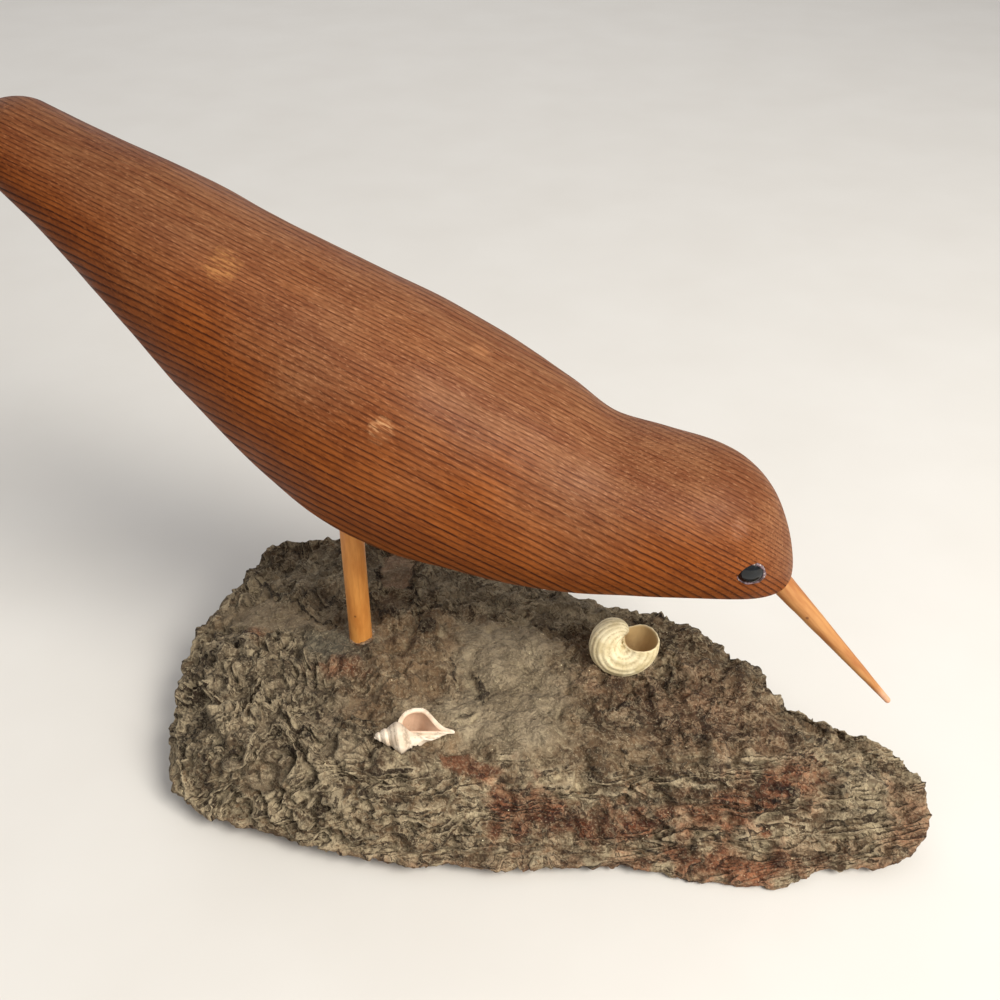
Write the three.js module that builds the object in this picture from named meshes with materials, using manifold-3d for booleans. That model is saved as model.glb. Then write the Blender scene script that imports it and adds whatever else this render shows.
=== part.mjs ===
// A shorebird carved in wood, feeding on one peg leg, on a slab of old bark with two sea shells.
// Millimetres, +Z up. The origin is on the table under the leg. The bird faces +X, its right side -Y.

import * as THREE from 'three';
import { mergeVertices } from 'three/addons/utils/BufferGeometryUtils.js';
import Module from 'manifold-3d';

const wasm = await Module();
wasm.setup();

// Fits
const MATING_GAP = 0.3;

// Body: a spindle carved round a straight line that falls towards the head
const BODY_LENGTH = 273;
const BODY_DEPTH = 77.9;
const BODY_WIDTH = 75.6;
const BODY_PITCH_DEG = 31;
const TAIL_TO_LEG = 104;
const LINE_RISE = 141.9;
const TAIL_ROUND = 12;
const HEAD_ROUND = 38;

// Cross sections from tail to head: place as a share of the length, lift of the middle off the
// line and depth as shares of the body's depth, width as a share of the body's width
const BODY_SECTIONS = [
  { at: 0, lift: -0.267, depth: 0.26, width: 0.367 },
  { at: 0.103, lift: -0.291, depth: 0.396, width: 0.49 },
  { at: 0.205, lift: -0.324, depth: 0.573, width: 0.638 },
  { at: 0.308, lift: -0.381, depth: 0.748, width: 0.771 },
  { at: 0.41, lift: -0.414, depth: 0.898, width: 0.898 },
  { at: 0.509, lift: -0.422, depth: 1, width: 1 },
  { at: 0.601, lift: -0.401, depth: 0.981, width: 0.991 },
  { at: 0.674, lift: -0.357, depth: 0.896, width: 0.914 },
  { at: 0.733, lift: -0.32, depth: 0.809, width: 0.834 },
  { at: 0.791, lift: -0.233, depth: 0.767, width: 0.791 },
  { at: 0.85, lift: -0.129, depth: 0.701, width: 0.723 },
  { at: 0.916, lift: -0.067, depth: 0.582, width: 0.6 },
  { at: 1, lift: -0.098, depth: 0.41, width: 0.423 },
];
const SECTION_SIDES = 34;
const TAIL_RINGS = 5;
const MIDDLE_RINGS = 20;
const HEAD_RINGS = 9;
const BELLY_PRECISION = 1e-9;

// Bill: a tapered dowel let into the front of the head
const BILL_LENGTH = 59;
const BILL_TENON = 12;
const BILL_ROOT_DIAMETER = 7.4;
const BILL_TIP_DIAMETER = 1.9;
const BILL_DROOP_DEG = 47;
const BILL_ROOT = { at: 0.996, lift: -0.11 };
const BILL_SIDES = 16;
const BILL_TIP_STEPS = 4;

// Eyes: domed buttons in drilled seats
const EYE_DIAMETER = 8;
const EYE_DOME = 1.6;
const EYE_BACK = 2.4;
const EYE_RECESS = 1.2;
const EYE_STATION = 0.935;
const EYE_RISE_DEG = 13;
const EYE_SPLAY_DEG = 9;
const EYE_DIP_DEG = 5;
const EYE_SIDES = 20;
const EYE_DOME_STEPS = 5;

// Leg: a round dowel
const LEG_DIAMETER = 8;
const LEG_IN_SLAB = 14;
const LEG_IN_BODY = 18;
const LEG_SIDES = 24;

// Bark slab. The rim goes round from the left end by the back: x and y off the leg as shares of
// the slab's length, height of the widest edge as a share of the thickness, then the shares of
// the way out at which the top starts to fall and the underside leaves the table
const SLAB_LENGTH = 258;
const SLAB_THICKNESS = 36;
const SLAB_MIDDLE = { x: 0.256, y: -0.031 };
const SLAB_RIM = [
  { x: -0.233, y: -0.12, edge: 0.5, shoulder: 0.84, foot: 0.9 },
  { x: -0.252, y: -0.02, edge: 0.58, shoulder: 0.84, foot: 0.93 },
  { x: -0.236, y: 0.045, edge: 0.68, shoulder: 0.86, foot: 0.94 },
  { x: -0.212, y: 0.125, edge: 0.82, shoulder: 0.88, foot: 0.95 },
  { x: -0.2, y: 0.182, edge: 0.88, shoulder: 0.9, foot: 0.95 },
  { x: -0.1, y: 0.213, edge: 0.9, shoulder: 0.9, foot: 0.94 },
  { x: 0.04, y: 0.205, edge: 0.92, shoulder: 0.88, foot: 0.92 },
  { x: 0.175, y: 0.178, edge: 0.92, shoulder: 0.86, foot: 0.9 },
  { x: 0.326, y: 0.143, edge: 0.9, shoulder: 0.84, foot: 0.88 },
  { x: 0.411, y: 0.142, edge: 0.88, shoulder: 0.84, foot: 0.88 },
  { x: 0.48, y: 0.106, edge: 0.84, shoulder: 0.84, foot: 0.88 },
  { x: 0.545, y: 0.058, edge: 0.8, shoulder: 0.84, foot: 0.9 },
  { x: 0.566, y: 0.024, edge: 0.78, shoulder: 0.84, foot: 0.9 },
  { x: 0.632, y: 0, edge: 0.7, shoulder: 0.8, foot: 0.92 },
  { x: 0.7, y: -0.008, edge: 0.6, shoulder: 0.74, foot: 0.93 },
  { x: 0.745, y: -0.038, edge: 0.5, shoulder: 0.7, foot: 0.92 },
  { x: 0.754, y: -0.106, edge: 0.3, shoulder: 0.66, foot: 0.9 },
  { x: 0.72, y: -0.14, edge: 0.17, shoulder: 0.56, foot: 0.86 },
  { x: 0.63, y: -0.163, edge: 0.12, shoulder: 0.48, foot: 0.86 },
  { x: 0.6, y: -0.182, edge: 0.08, shoulder: 0.44, foot: 0.92 },
  { x: 0.54, y: -0.2, edge: 0.08, shoulder: 0.4, foot: 0.93 },
  { x: 0.45, y: -0.204, edge: 0.11, shoulder: 0.4, foot: 0.88 },
  { x: 0.36, y: -0.219, edge: 0.16, shoulder: 0.46, foot: 0.85 },
  { x: 0.25, y: -0.248, edge: 0.2, shoulder: 0.6, foot: 0.8 },
  { x: 0.14, y: -0.265, edge: 0.22, shoulder: 0.72, foot: 0.76 },
  { x: 0.02, y: -0.272, edge: 0.24, shoulder: 0.8, foot: 0.74 },
  { x: -0.075, y: -0.256, edge: 0.24, shoulder: 0.84, foot: 0.76 },
  { x: -0.155, y: -0.25, edge: 0.27, shoulder: 0.86, foot: 0.8 },
  { x: -0.205, y: -0.188, edge: 0.4, shoulder: 0.85, foot: 0.85 },
];
// Height of the slab's flat top along its length, as a share of the thickness
const SLAB_TOP = [
  { at: -0.25, height: 0.68 },
  { at: -0.15, height: 0.86 },
  { at: 0, height: 1 },
  { at: 0.25, height: 1.01 },
  { at: 0.42, height: 0.93 },
  { at: 0.58, height: 0.78 },
  { at: 0.76, height: 0.5 },
];
const SLAB_SIDES = 80;
const SLAB_TOP_RINGS = [0.14, 0.28, 0.42, 0.54, 0.64, 0.73, 0.81, 0.88, 0.94, 0.98];
const RIM_BAND = 1;
// Under the rim the slab draws in to its foot. Heights are shares of the rim's height there
const SLAB_UNDERCUT = { rimHeight: 0.9, bendHeight: 0.45, bendOut: 2 / 3, flatRing: 0.4 };
// Bark waves: length as a share of the slab's length, height as a share of its thickness
const BARK_WAVES = [
  { length: 0.236, heading: 18, height: 0.0194, shift: 0.4 },
  { length: 0.143, heading: 97, height: 0.0167, shift: 1.9 },
  { length: 0.089, heading: 152, height: 0.0125, shift: 3.1 },
  { length: 0.058, heading: 61, height: 0.0097, shift: 5.2 },
];
const CALM_RADIUS = 14;

// Shells: tubes that grow as they coil round a core, the columella. The radius is that of the
// mouth's outer lip. The tube's width, its reach to the spire and to the base, its rise up the axis
// and the columella are shares of that radius, taken at the mouth, where the tube ends. Going back
// from the mouth the tube shrinks by exp(-(shrink * turns) ^ shrinkPower). The apex is at the
// bottom of the axis, the base at the top
const ROUND_SHELL_RADIUS = 12.6;
const ROUND_SHELL_WALL = 0.8;
const ROUND_SHELL = {
  width: 0.975, toSpire: 0.74, toBase: 0.5, rise: 0.5, turns: 1.12,
  shrink: 1.19, shrinkPower: 4, innerSquareness: 0.5, spireFlatness: 0.2, canal: 0, slantDeg: 12,
  columella: 0.04, cavityTurns: 0.4, openTurns: 0.04,
};
const WHELK_SHELL_RADIUS = 8.2;
const WHELK_SHELL_WALL = 0.8;
const WHELK_SHELL = {
  width: 0.988, toSpire: 0.6, toBase: 1.42, rise: 1.72, turns: 3.6,
  shrink: 0.62, shrinkPower: 1, innerSquareness: 0.8, spireFlatness: 0.8, canal: 0.68, slantDeg: 12,
  columella: 0.095, cavityTurns: 0.4, openTurns: 0.04,
};
const BASE_SQUARENESS = 0.75;
const LIP_FLATNESS = 0.25;
const LIP_TURNS = 0.12;
const COLUMELLA_END = { height: 0.5, width: 0.6 };
const STEPS_PER_TURN = 12;
const TUBE_SIDES = 11;
const COIL_PIECE_TURNS = 0.5;
const COIL_PIECE_LAP = 0.02;

// Where the shells sit: x and y off the leg as shares of the slab's length, and how deep they sink
const ROUND_SHELL_AT = { x: 0.35, y: 0.0365 };
const ROUND_SHELL_SINK = 1.2;
const ROUND_SHELL_HEADING_DEG = 12;
const ROUND_SHELL_LEAN_DEG = 80;
const ROUND_SHELL_ROLL_DEG = -2;
const WHELK_SHELL_AT = { x: 0.0744, y: -0.1938 };
const WHELK_SHELL_SINK = 1.6;
const WHELK_SHELL_HEADING_DEG = 12;
const WHELK_SHELL_ROLL_DEG = 57;

const rad = THREE.MathUtils.degToRad;

// Colours, roughness and metalness
const FINISHES = {
  body: { color: 0xa65d35, roughness: 0.5 },
  bill: { color: 0xd9a160, roughness: 0.5 },
  leg: { color: 0xcf8a3a, roughness: 0.55 },
  eye: { color: 0x07090b, roughness: 0.08 },
  bark: { color: 0x6c6553, roughness: 0.95 },
  roundShell: { color: 0xe3dabf, roughness: 0.7 },
  whelkShell: { color: 0xdfd2bd, roughness: 0.65 },
};

function finish(name) {
  return new THREE.MeshStandardMaterial({ ...FINISHES[name], metalness: 0 });
}

function named(name, geometry, finishName) {
  const mesh = new THREE.Mesh(geometry, finish(finishName));
  mesh.name = name;
  return mesh;
}

// A smooth curve through the values that a list of stations holds under one key
function curveThrough(stations, key, value) {
  const places = stations.map((station) => station[key]);
  const last = places.length - 1;
  const values = stations.map((station) => station[value]);
  const slopes = values.slice(1).map((v, i) => (v - values[i]) / (places[i + 1] - places[i]));
  const tangents = values.map((_, i) => {
    const before = slopes[Math.max(i - 1, 0)];
    const after = slopes[Math.min(i, last - 1)];
    return (before + after) / 2;
  });
  return (x) => {
    const next = places.findIndex((place, i) => i > 0 && x <= place);
    const i = (next < 0 ? last : next) - 1;
    const span = places[i + 1] - places[i];
    const p = THREE.MathUtils.clamp((x - places[i]) / span, 0, 1);
    const ahead = p * p * (3 - 2 * p);
    const start = values[i] * (1 - ahead) + tangents[i] * span * p * (1 - p) ** 2;
    return start + values[i + 1] * ahead - tangents[i + 1] * span * p * p * (1 - p);
  };
}

// A closed skin over rings of points that all have the same count, with a point at each end
function skinRings(firstPoint, rings, lastPoint) {
  const sides = rings[0].length;
  const positions = [...firstPoint, ...rings.flat(2), ...lastPoint];
  const index = [];
  const vertex = (ring, side) => 1 + ring * sides + (side % sides);
  const end = 1 + rings.length * sides;
  for (let side = 0; side < sides; side += 1) {
    index.push(0, vertex(0, side), vertex(0, side + 1));
    index.push(end, vertex(rings.length - 1, side + 1), vertex(rings.length - 1, side));
    for (let ring = 0; ring < rings.length - 1; ring += 1) {
      const a = vertex(ring, side);
      const b = vertex(ring, side + 1);
      const c = vertex(ring + 1, side + 1);
      const d = vertex(ring + 1, side);
      index.push(a, c, b, a, d, c);
    }
  }
  const geometry = new THREE.BufferGeometry();
  geometry.setAttribute('position', new THREE.Float32BufferAttribute(positions, 3));
  geometry.setIndex(index);
  return geometry;
}

// Solids for cutting and joining
function toSolid(geometry, matrix = new THREE.Matrix4()) {
  const bare = geometry.clone().applyMatrix4(matrix);
  bare.deleteAttribute('normal');
  bare.deleteAttribute('uv');
  const merged = mergeVertices(bare, 1e-4);
  return new wasm.Manifold(new wasm.Mesh({
    numProp: 3,
    vertProperties: new Float32Array(merged.attributes.position.array),
    triVerts: new Uint32Array(merged.index.array),
  }));
}

function fromSolid(solid) {
  const { numProp, vertProperties, triVerts } = solid.getMesh();
  const positions = new Float32Array((vertProperties.length / numProp) * 3);
  for (let i = 0; i < positions.length / 3; i += 1) {
    positions.set(vertProperties.subarray(i * numProp, i * numProp + 3), i * 3);
  }
  const geometry = new THREE.BufferGeometry();
  geometry.setAttribute('position', new THREE.BufferAttribute(positions, 3));
  geometry.setIndex(new THREE.BufferAttribute(new Uint32Array(triVerts), 1));
  geometry.computeVertexNormals();
  return geometry;
}

// A place and a direction as a matrix that carries +Z onto the direction
function alongMatrix(origin, direction) {
  const turn = new THREE.Quaternion().setFromUnitVectors(new THREE.Vector3(0, 0, 1), direction);
  return new THREE.Matrix4().compose(origin, turn, new THREE.Vector3(1, 1, 1));
}

// Body: points in the bird's own frame, whose origin is where the leg meets the slab's top
const pitch = rad(BODY_PITCH_DEG);
const lineDirection = new THREE.Vector3(Math.cos(pitch), 0, -Math.sin(pitch));
const liftDirection = new THREE.Vector3(Math.sin(pitch), 0, Math.cos(pitch));
const liftAt = curveThrough(BODY_SECTIONS, 'at', 'lift');
const depthAt = curveThrough(BODY_SECTIONS, 'at', 'depth');
const widthAt = curveThrough(BODY_SECTIONS, 'at', 'width');

function roundedEnds(at) {
  const fromTail = THREE.MathUtils.clamp((at * BODY_LENGTH) / TAIL_ROUND, 0, 1);
  const fromHead = THREE.MathUtils.clamp(((1 - at) * BODY_LENGTH) / HEAD_ROUND, 0, 1);
  return Math.sqrt((1 - (1 - fromTail) ** 2) * (1 - (1 - fromHead) ** 2));
}

function linePoint(at, lift) {
  return new THREE.Vector3(0, 0, LINE_RISE)
    .addScaledVector(lineDirection, at * BODY_LENGTH - TAIL_TO_LEG)
    .addScaledVector(liftDirection, lift * BODY_DEPTH);
}

// Angle 0 is the bird's right side, 90 degrees its back
function bodyPoint(at, angle) {
  const ends = roundedEnds(at);
  const point = linePoint(at, liftAt(at) + (depthAt(at) / 2) * ends * Math.sin(angle));
  point.y = -(widthAt(at) / 2) * BODY_WIDTH * ends * Math.cos(angle);
  return point;
}

function bodyStations() {
  const tail = TAIL_ROUND / BODY_LENGTH;
  const head = HEAD_ROUND / BODY_LENGTH;
  const quarter = (i, count) => 1 - Math.cos((i / count) * (Math.PI / 2));
  const stations = [];
  for (let i = 1; i <= TAIL_RINGS; i += 1) stations.push(tail * quarter(i, TAIL_RINGS));
  for (let i = 1; i < MIDDLE_RINGS; i += 1) {
    stations.push(THREE.MathUtils.lerp(tail, 1 - head, i / MIDDLE_RINGS));
  }
  for (let i = HEAD_RINGS; i >= 1; i -= 1) stations.push(1 - head * quarter(i, HEAD_RINGS));
  return stations;
}

function bodyGeometry() {
  const rings = bodyStations().map((at) => {
    const ring = [];
    for (let side = 0; side < SECTION_SIDES; side += 1) {
      ring.push(bodyPoint(at, (side / SECTION_SIDES) * 2 * Math.PI).toArray());
    }
    return ring;
  });
  return skinRings(linePoint(0, liftAt(0)).toArray(), rings, linePoint(1, liftAt(1)).toArray());
}

// Height of the body's underside straight above the leg's foot, found by halving
function bellyHeight() {
  const below = (at) => bodyPoint(at, -Math.PI / 2);
  let back = 0;
  let front = 1;
  while (front - back > BELLY_PRECISION) {
    const middle = (back + front) / 2;
    if (below(middle).x < 0) back = middle;
    else front = middle;
  }
  return below(back).z;
}

// Bill: pointing along +Z from its root, with a rounded tip
function billGeometry(grow) {
  const rootRadius = BILL_ROOT_DIAMETER / 2 + grow;
  const tipRadius = BILL_TIP_DIAMETER / 2 + grow;
  const back = -BILL_TENON - grow;
  const taperEnd = BILL_LENGTH - BILL_TIP_DIAMETER / 2;
  const profile = [
    new THREE.Vector2(0, back),
    new THREE.Vector2(rootRadius, back),
    new THREE.Vector2(rootRadius, 0),
  ];
  for (let i = 0; i < BILL_TIP_STEPS; i += 1) {
    const turn = (i / BILL_TIP_STEPS) * (Math.PI / 2);
    const rise = taperEnd + (BILL_TIP_DIAMETER / 2) * Math.sin(turn);
    profile.push(new THREE.Vector2(tipRadius * Math.cos(turn), rise));
  }
  profile.push(new THREE.Vector2(0, BILL_LENGTH));
  return new THREE.LatheGeometry(profile, BILL_SIDES).rotateX(Math.PI / 2);
}

function billMatrix() {
  const droop = rad(BILL_DROOP_DEG);
  const direction = new THREE.Vector3(Math.cos(droop), 0, -Math.sin(droop));
  return alongMatrix(linePoint(BILL_ROOT.at, BILL_ROOT.lift), direction);
}

// Eye: a button with a domed front, its rim a little below the wood
function eyeGeometry() {
  const radius = EYE_DIAMETER / 2;
  const sphereRadius = (radius ** 2 + EYE_DOME ** 2) / (2 * EYE_DOME);
  const halfAngle = Math.asin(radius / sphereRadius);
  const back = -EYE_RECESS - EYE_BACK;
  const profile = [new THREE.Vector2(0, back), new THREE.Vector2(radius, back)];
  for (let i = 0; i < EYE_DOME_STEPS; i += 1) {
    const angle = halfAngle * (1 - i / EYE_DOME_STEPS);
    const rise = EYE_DOME - EYE_RECESS - sphereRadius * (1 - Math.cos(angle));
    profile.push(new THREE.Vector2(sphereRadius * Math.sin(angle), rise));
  }
  profile.push(new THREE.Vector2(0, EYE_DOME - EYE_RECESS));
  return new THREE.LatheGeometry(profile, EYE_SIDES).rotateX(Math.PI / 2);
}

function eyeSeatGeometry() {
  const depth = EYE_RECESS + EYE_BACK + MATING_GAP;
  const radius = EYE_DIAMETER / 2 + MATING_GAP;
  return new THREE.CylinderGeometry(radius, radius, 2 * depth, EYE_SIDES).rotateX(Math.PI / 2);
}

// The seats are drilled almost straight in from the sides, not square to the wood
function eyeMatrix(side) {
  const angle = side < 0 ? rad(EYE_RISE_DEG) : Math.PI - rad(EYE_RISE_DEG);
  const direction = new THREE.Vector3(
    Math.sin(rad(EYE_SPLAY_DEG)), side * Math.cos(rad(EYE_SPLAY_DEG)), -Math.sin(rad(EYE_DIP_DEG)));
  return alongMatrix(bodyPoint(EYE_STATION, angle), direction.normalize());
}

// Leg: an upright dowel, its origin where it meets the slab's top
function legGeometry(grow, below, above) {
  const radius = LEG_DIAMETER / 2 + grow;
  const dowel = new THREE.CylinderGeometry(radius, radius, below + above, LEG_SIDES);
  return dowel.rotateX(Math.PI / 2).translate(0, 0, (above - below) / 2);
}

// Slab
const slabRimCurve = new THREE.CatmullRomCurve3(
  SLAB_RIM.map(({ x, y, edge }) => new THREE.Vector3(x, y, edge)), true, 'centripetal');
const slabFallCurve = new THREE.CatmullRomCurve3(
  SLAB_RIM.map(({ shoulder, foot }) => new THREE.Vector3(shoulder, foot, 0)), true, 'catmullrom');
const slabHeight = curveThrough(SLAB_TOP, 'at', 'height');

// Gentle waves in the bark, fading out round the leg so that its foot sits on a known height
function barkWave(x, y) {
  const calm = 1 - Math.exp(-((x / CALM_RADIUS) ** 2 + (y / CALM_RADIUS) ** 2));
  return calm * BARK_WAVES.reduce((sum, { length, heading, height, shift }) => {
    const along = x * Math.cos(rad(heading)) + y * Math.sin(rad(heading));
    const phase = (2 * Math.PI * along) / (length * SLAB_LENGTH) + shift;
    return sum + height * SLAB_THICKNESS * Math.sin(phase);
  }, 0);
}

function slabFlatTop(x, y) {
  return slabHeight(x / SLAB_LENGTH) * SLAB_THICKNESS + barkWave(x, y);
}

// Point on the slab a share of the way out from the middle to the rim at a place round the rim
function slabPlan(turn, out) {
  const rim = slabRimCurve.getPoint(turn);
  return {
    x: THREE.MathUtils.lerp(SLAB_MIDDLE.x, rim.x, out) * SLAB_LENGTH,
    y: THREE.MathUtils.lerp(SLAB_MIDDLE.y, rim.y, out) * SLAB_LENGTH,
    edge: rim.z * SLAB_THICKNESS,
  };
}

function slabTopPoint(turn, out) {
  const { x, y, edge } = slabPlan(turn, out);
  const shoulder = slabFallCurve.getPoint(turn).x;
  const fall = THREE.MathUtils.smoothstep(out, shoulder, 1);
  return [x, y, THREE.MathUtils.lerp(slabFlatTop(x, y), edge + RIM_BAND, fall)];
}

function slabLowPoint(turn, out, height) {
  const { x, y, edge } = slabPlan(turn, out);
  return [x, y, edge * height];
}

function slabGeometry() {
  const turns = Array.from({ length: SLAB_SIDES }, (_, i) => 1 - i / SLAB_SIDES);
  const top = SLAB_TOP_RINGS.map((out) => turns.map((turn) => slabTopPoint(turn, out)));
  const footOf = (turn) => slabFallCurve.getPoint(turn).y;
  const { rimHeight, bendHeight, bendOut, flatRing } = SLAB_UNDERCUT;
  const bendOf = (turn) => THREE.MathUtils.lerp(footOf(turn), 1, bendOut);
  const low = [
    turns.map((turn) => slabLowPoint(turn, 1, rimHeight)),
    turns.map((turn) => slabLowPoint(turn, bendOf(turn), bendHeight)),
    turns.map((turn) => slabLowPoint(turn, footOf(turn), 0)),
    turns.map((turn) => slabLowPoint(turn, flatRing, 0)),
  ];
  const middle = slabPlan(0, 0);
  const peak = [middle.x, middle.y, slabFlatTop(middle.x, middle.y)];
  return skinRings(peak, [...top, ...low], [middle.x, middle.y, 0]);
}

// Shells: all the lengths of one shell, from its radius and its shares
function sizedShell(radius, wall, shares) {
  const shell = { ...shares, radius, wall };
  for (const key of ['width', 'toSpire', 'toBase', 'rise', 'columella']) {
    shell[key] = shares[key] * radius;
  }
  return shell;
}

// Share of the mouth's size that the tube has some turns back from it
function tubeScale(shell, turnsBack) {
  return Math.exp(-((shell.shrink * Math.max(turnsBack, 0)) ** shell.shrinkPower));
}

// A ring of the tube, some turns back from the mouth, grown or shrunk by a skin's thickness. The
// mouth slants: the wall on the spire's side reaches further round than the base's. The canal
// draws the tube in towards the base, and the lip rounds the shoulder off
function tubeRing(shell, turnsBack, skin) {
  const scale = tubeScale(shell, turnsBack);
  const rounded = THREE.MathUtils.smoothstep(turnsBack, 0, LIP_TURNS);
  const flatness = shell.spireFlatness * THREE.MathUtils.lerp(LIP_FLATNESS, 1, rounded);
  const slant = rad(shell.slantDeg) * Math.min(1 + turnsBack / shell.openTurns, 1);
  const core = shell.columella * scale * (skin < 0 ? 1 : 0.5);
  const ring = [];
  for (let side = 0; side < TUBE_SIDES; side += 1) {
    const around = (side / TUBE_SIDES) * 2 * Math.PI;
    const onSpire = Math.cos(around) > 0 && Math.sin(around) < 0;
    const straight = Math.abs(Math.cos(around)) + Math.abs(Math.sin(around));
    const reach = onSpire ? THREE.MathUtils.lerp(1, 1 / straight, flatness) : 1;
    const up = Math.sin(around) * reach;
    const out = Math.cos(around) * reach;
    const onBase = THREE.MathUtils.smoothstep(up, -0.2, 0.5);
    const squareness = THREE.MathUtils.lerp(shell.innerSquareness, BASE_SQUARENESS, onBase);
    const squaredOut = out < 0 ? -((-out) ** squareness) : out;
    const narrowing = 1 - shell.canal * THREE.MathUtils.smoothstep(up, 0.15, 0.8);
    const width = (shell.width / 2) * scale * narrowing + skin;
    const middle = (shell.radius - shell.width / 2) * scale * narrowing;
    const height = (up < 0 ? shell.toSpire : shell.toBase) * scale + skin;
    const radius = Math.max(middle + width * squaredOut, core);
    const angle = -turnsBack * 2 * Math.PI + (slant * (1 - up)) / 2;
    ring.push([radius * Math.cos(angle), radius * Math.sin(angle), shell.rise * scale + height * up]);
  }
  return ring;
}

function ringMiddle(ring) {
  return [0, 1, 2].map((axis) => ring.reduce((sum, point) => sum + point[axis], 0) / ring.length);
}

function tubePiece(shell, from, to, skin) {
  const steps = Math.max(2, Math.round((from - to) * STEPS_PER_TURN));
  const rings = [];
  for (let i = 0; i <= steps; i += 1) {
    rings.push(tubeRing(shell, THREE.MathUtils.lerp(from, to, i / steps), skin));
  }
  return toSolid(skinRings(ringMiddle(rings[0]), rings, ringMiddle(rings[steps])));
}

function columellaSolid(shell) {
  const apex = shell.rise * tubeScale(shell, shell.turns);
  const end = shell.rise + shell.toBase * COLUMELLA_END.height;
  const profile = [
    new THREE.Vector2(0, apex),
    new THREE.Vector2((shell.columella * apex) / shell.rise, apex),
    new THREE.Vector2(shell.columella, shell.rise),
    new THREE.Vector2(shell.columella * COLUMELLA_END.width, end),
    new THREE.Vector2(0, end),
  ];
  return toSolid(new THREE.LatheGeometry(profile, TUBE_SIDES).rotateX(Math.PI / 2));
}

// Pieces of the tube joined into the coil, each lapping a little over the next
function coilSolid(shell, skin) {
  let solid = columellaSolid(shell);
  for (let start = 0; start < shell.turns; start += COIL_PIECE_TURNS) {
    const end = Math.min(start + COIL_PIECE_TURNS + COIL_PIECE_LAP, shell.turns);
    solid = solid.add(tubePiece(shell, end, start, skin));
  }
  return solid;
}

function shellSolid(shell) {
  const cavity = tubePiece(shell, shell.cavityTurns, -shell.openTurns, -shell.wall);
  return coilSolid(shell, 0).subtract(cavity);
}

// Lowest height that a geometry reaches after a turn, for setting it down on the slab
function lowestAfter(geometry, rotation) {
  const turned = geometry.clone().applyMatrix4(new THREE.Matrix4().makeRotationFromEuler(rotation));
  turned.computeBoundingBox();
  return turned.boundingBox.min.z;
}

function placedShell(geometry, rotation, place, sink) {
  const x = place.x * SLAB_LENGTH;
  const y = place.y * SLAB_LENGTH;
  const height = slabFlatTop(x, y) - sink - lowestAfter(geometry, rotation);
  return new THREE.Matrix4().makeRotationFromEuler(rotation).setPosition(x, y, height);
}

// Assembly
const legFoot = slabFlatTop(0, 0);
const bird = new THREE.Group();
bird.position.set(0, 0, legFoot);

const billPlace = billMatrix();
const legAbove = bellyHeight() + LEG_IN_BODY;
let bodySolid = toSolid(bodyGeometry())
  .subtract(toSolid(billGeometry(MATING_GAP), billPlace))
  .subtract(toSolid(legGeometry(MATING_GAP, 0, legAbove + MATING_GAP)));
for (const side of [-1, 1]) {
  bodySolid = bodySolid.subtract(toSolid(eyeSeatGeometry(), eyeMatrix(side)));
}
bird.add(named('body', fromSolid(bodySolid), 'body'));

const bill = named('bill', billGeometry(0), 'bill');
bill.applyMatrix4(billPlace);
bird.add(bill);

for (const [side, name] of [[-1, 'eye_right'], [1, 'eye_left']]) {
  const eye = named(name, eyeGeometry(), 'eye');
  eye.applyMatrix4(eyeMatrix(side));
  bird.add(eye);
}

bird.add(named('leg', legGeometry(0, LEG_IN_SLAB, legAbove), 'leg'));

const roundTurn = new THREE.Euler(rad(ROUND_SHELL_LEAN_DEG), 0, rad(ROUND_SHELL_HEADING_DEG), 'ZYX');
const whelkTurn = new THREE.Euler(0, Math.PI / 2, rad(WHELK_SHELL_HEADING_DEG), 'ZYX');
const roundRoll = new THREE.Matrix4().makeRotationZ(rad(ROUND_SHELL_ROLL_DEG));
const whelkRoll = new THREE.Matrix4().makeRotationZ(Math.PI - rad(WHELK_SHELL_ROLL_DEG));
const roundSizes = sizedShell(ROUND_SHELL_RADIUS, ROUND_SHELL_WALL, ROUND_SHELL);
const whelkSizes = sizedShell(WHELK_SHELL_RADIUS, WHELK_SHELL_WALL, WHELK_SHELL);
const roundGeometry = fromSolid(shellSolid(roundSizes)).applyMatrix4(roundRoll);
const whelkGeometry = fromSolid(shellSolid(whelkSizes)).applyMatrix4(whelkRoll);
const roundPlace = placedShell(roundGeometry, roundTurn, ROUND_SHELL_AT, ROUND_SHELL_SINK);
const whelkPlace = placedShell(whelkGeometry, whelkTurn, WHELK_SHELL_AT, WHELK_SHELL_SINK);

const legSocket = legGeometry(MATING_GAP, LEG_IN_SLAB + MATING_GAP, LEG_IN_SLAB);
const roundSeat = fromSolid(coilSolid(roundSizes, MATING_GAP)).applyMatrix4(roundRoll);
const whelkSeat = fromSolid(coilSolid(whelkSizes, MATING_GAP)).applyMatrix4(whelkRoll);
const slabSolid = toSolid(slabGeometry())
  .subtract(toSolid(legSocket, new THREE.Matrix4().makeTranslation(0, 0, legFoot)))
  .subtract(toSolid(roundSeat, roundPlace))
  .subtract(toSolid(whelkSeat, whelkPlace));

const decoy = new THREE.Group();
decoy.add(bird, named('bark_slab', fromSolid(slabSolid), 'bark'));

const roundShell = named('shell_round', roundGeometry, 'roundShell');
roundShell.applyMatrix4(roundPlace);
const whelkShell = named('shell_whelk', whelkGeometry, 'whelkShell');
whelkShell.applyMatrix4(whelkPlace);
decoy.add(roundShell, whelkShell);

export default decoy;
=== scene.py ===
"""Looks of a carved wooden shorebird on a slab of old bark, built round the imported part."""

import logging
import math
from dataclasses import dataclass, fields
from enum import Enum
from typing import Sequence

import bpy
import numpy as np
from bpy.types import Material, Mesh, Node, NodeSocket, NodeTree, Object
from mathutils import Matrix, Vector


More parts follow.
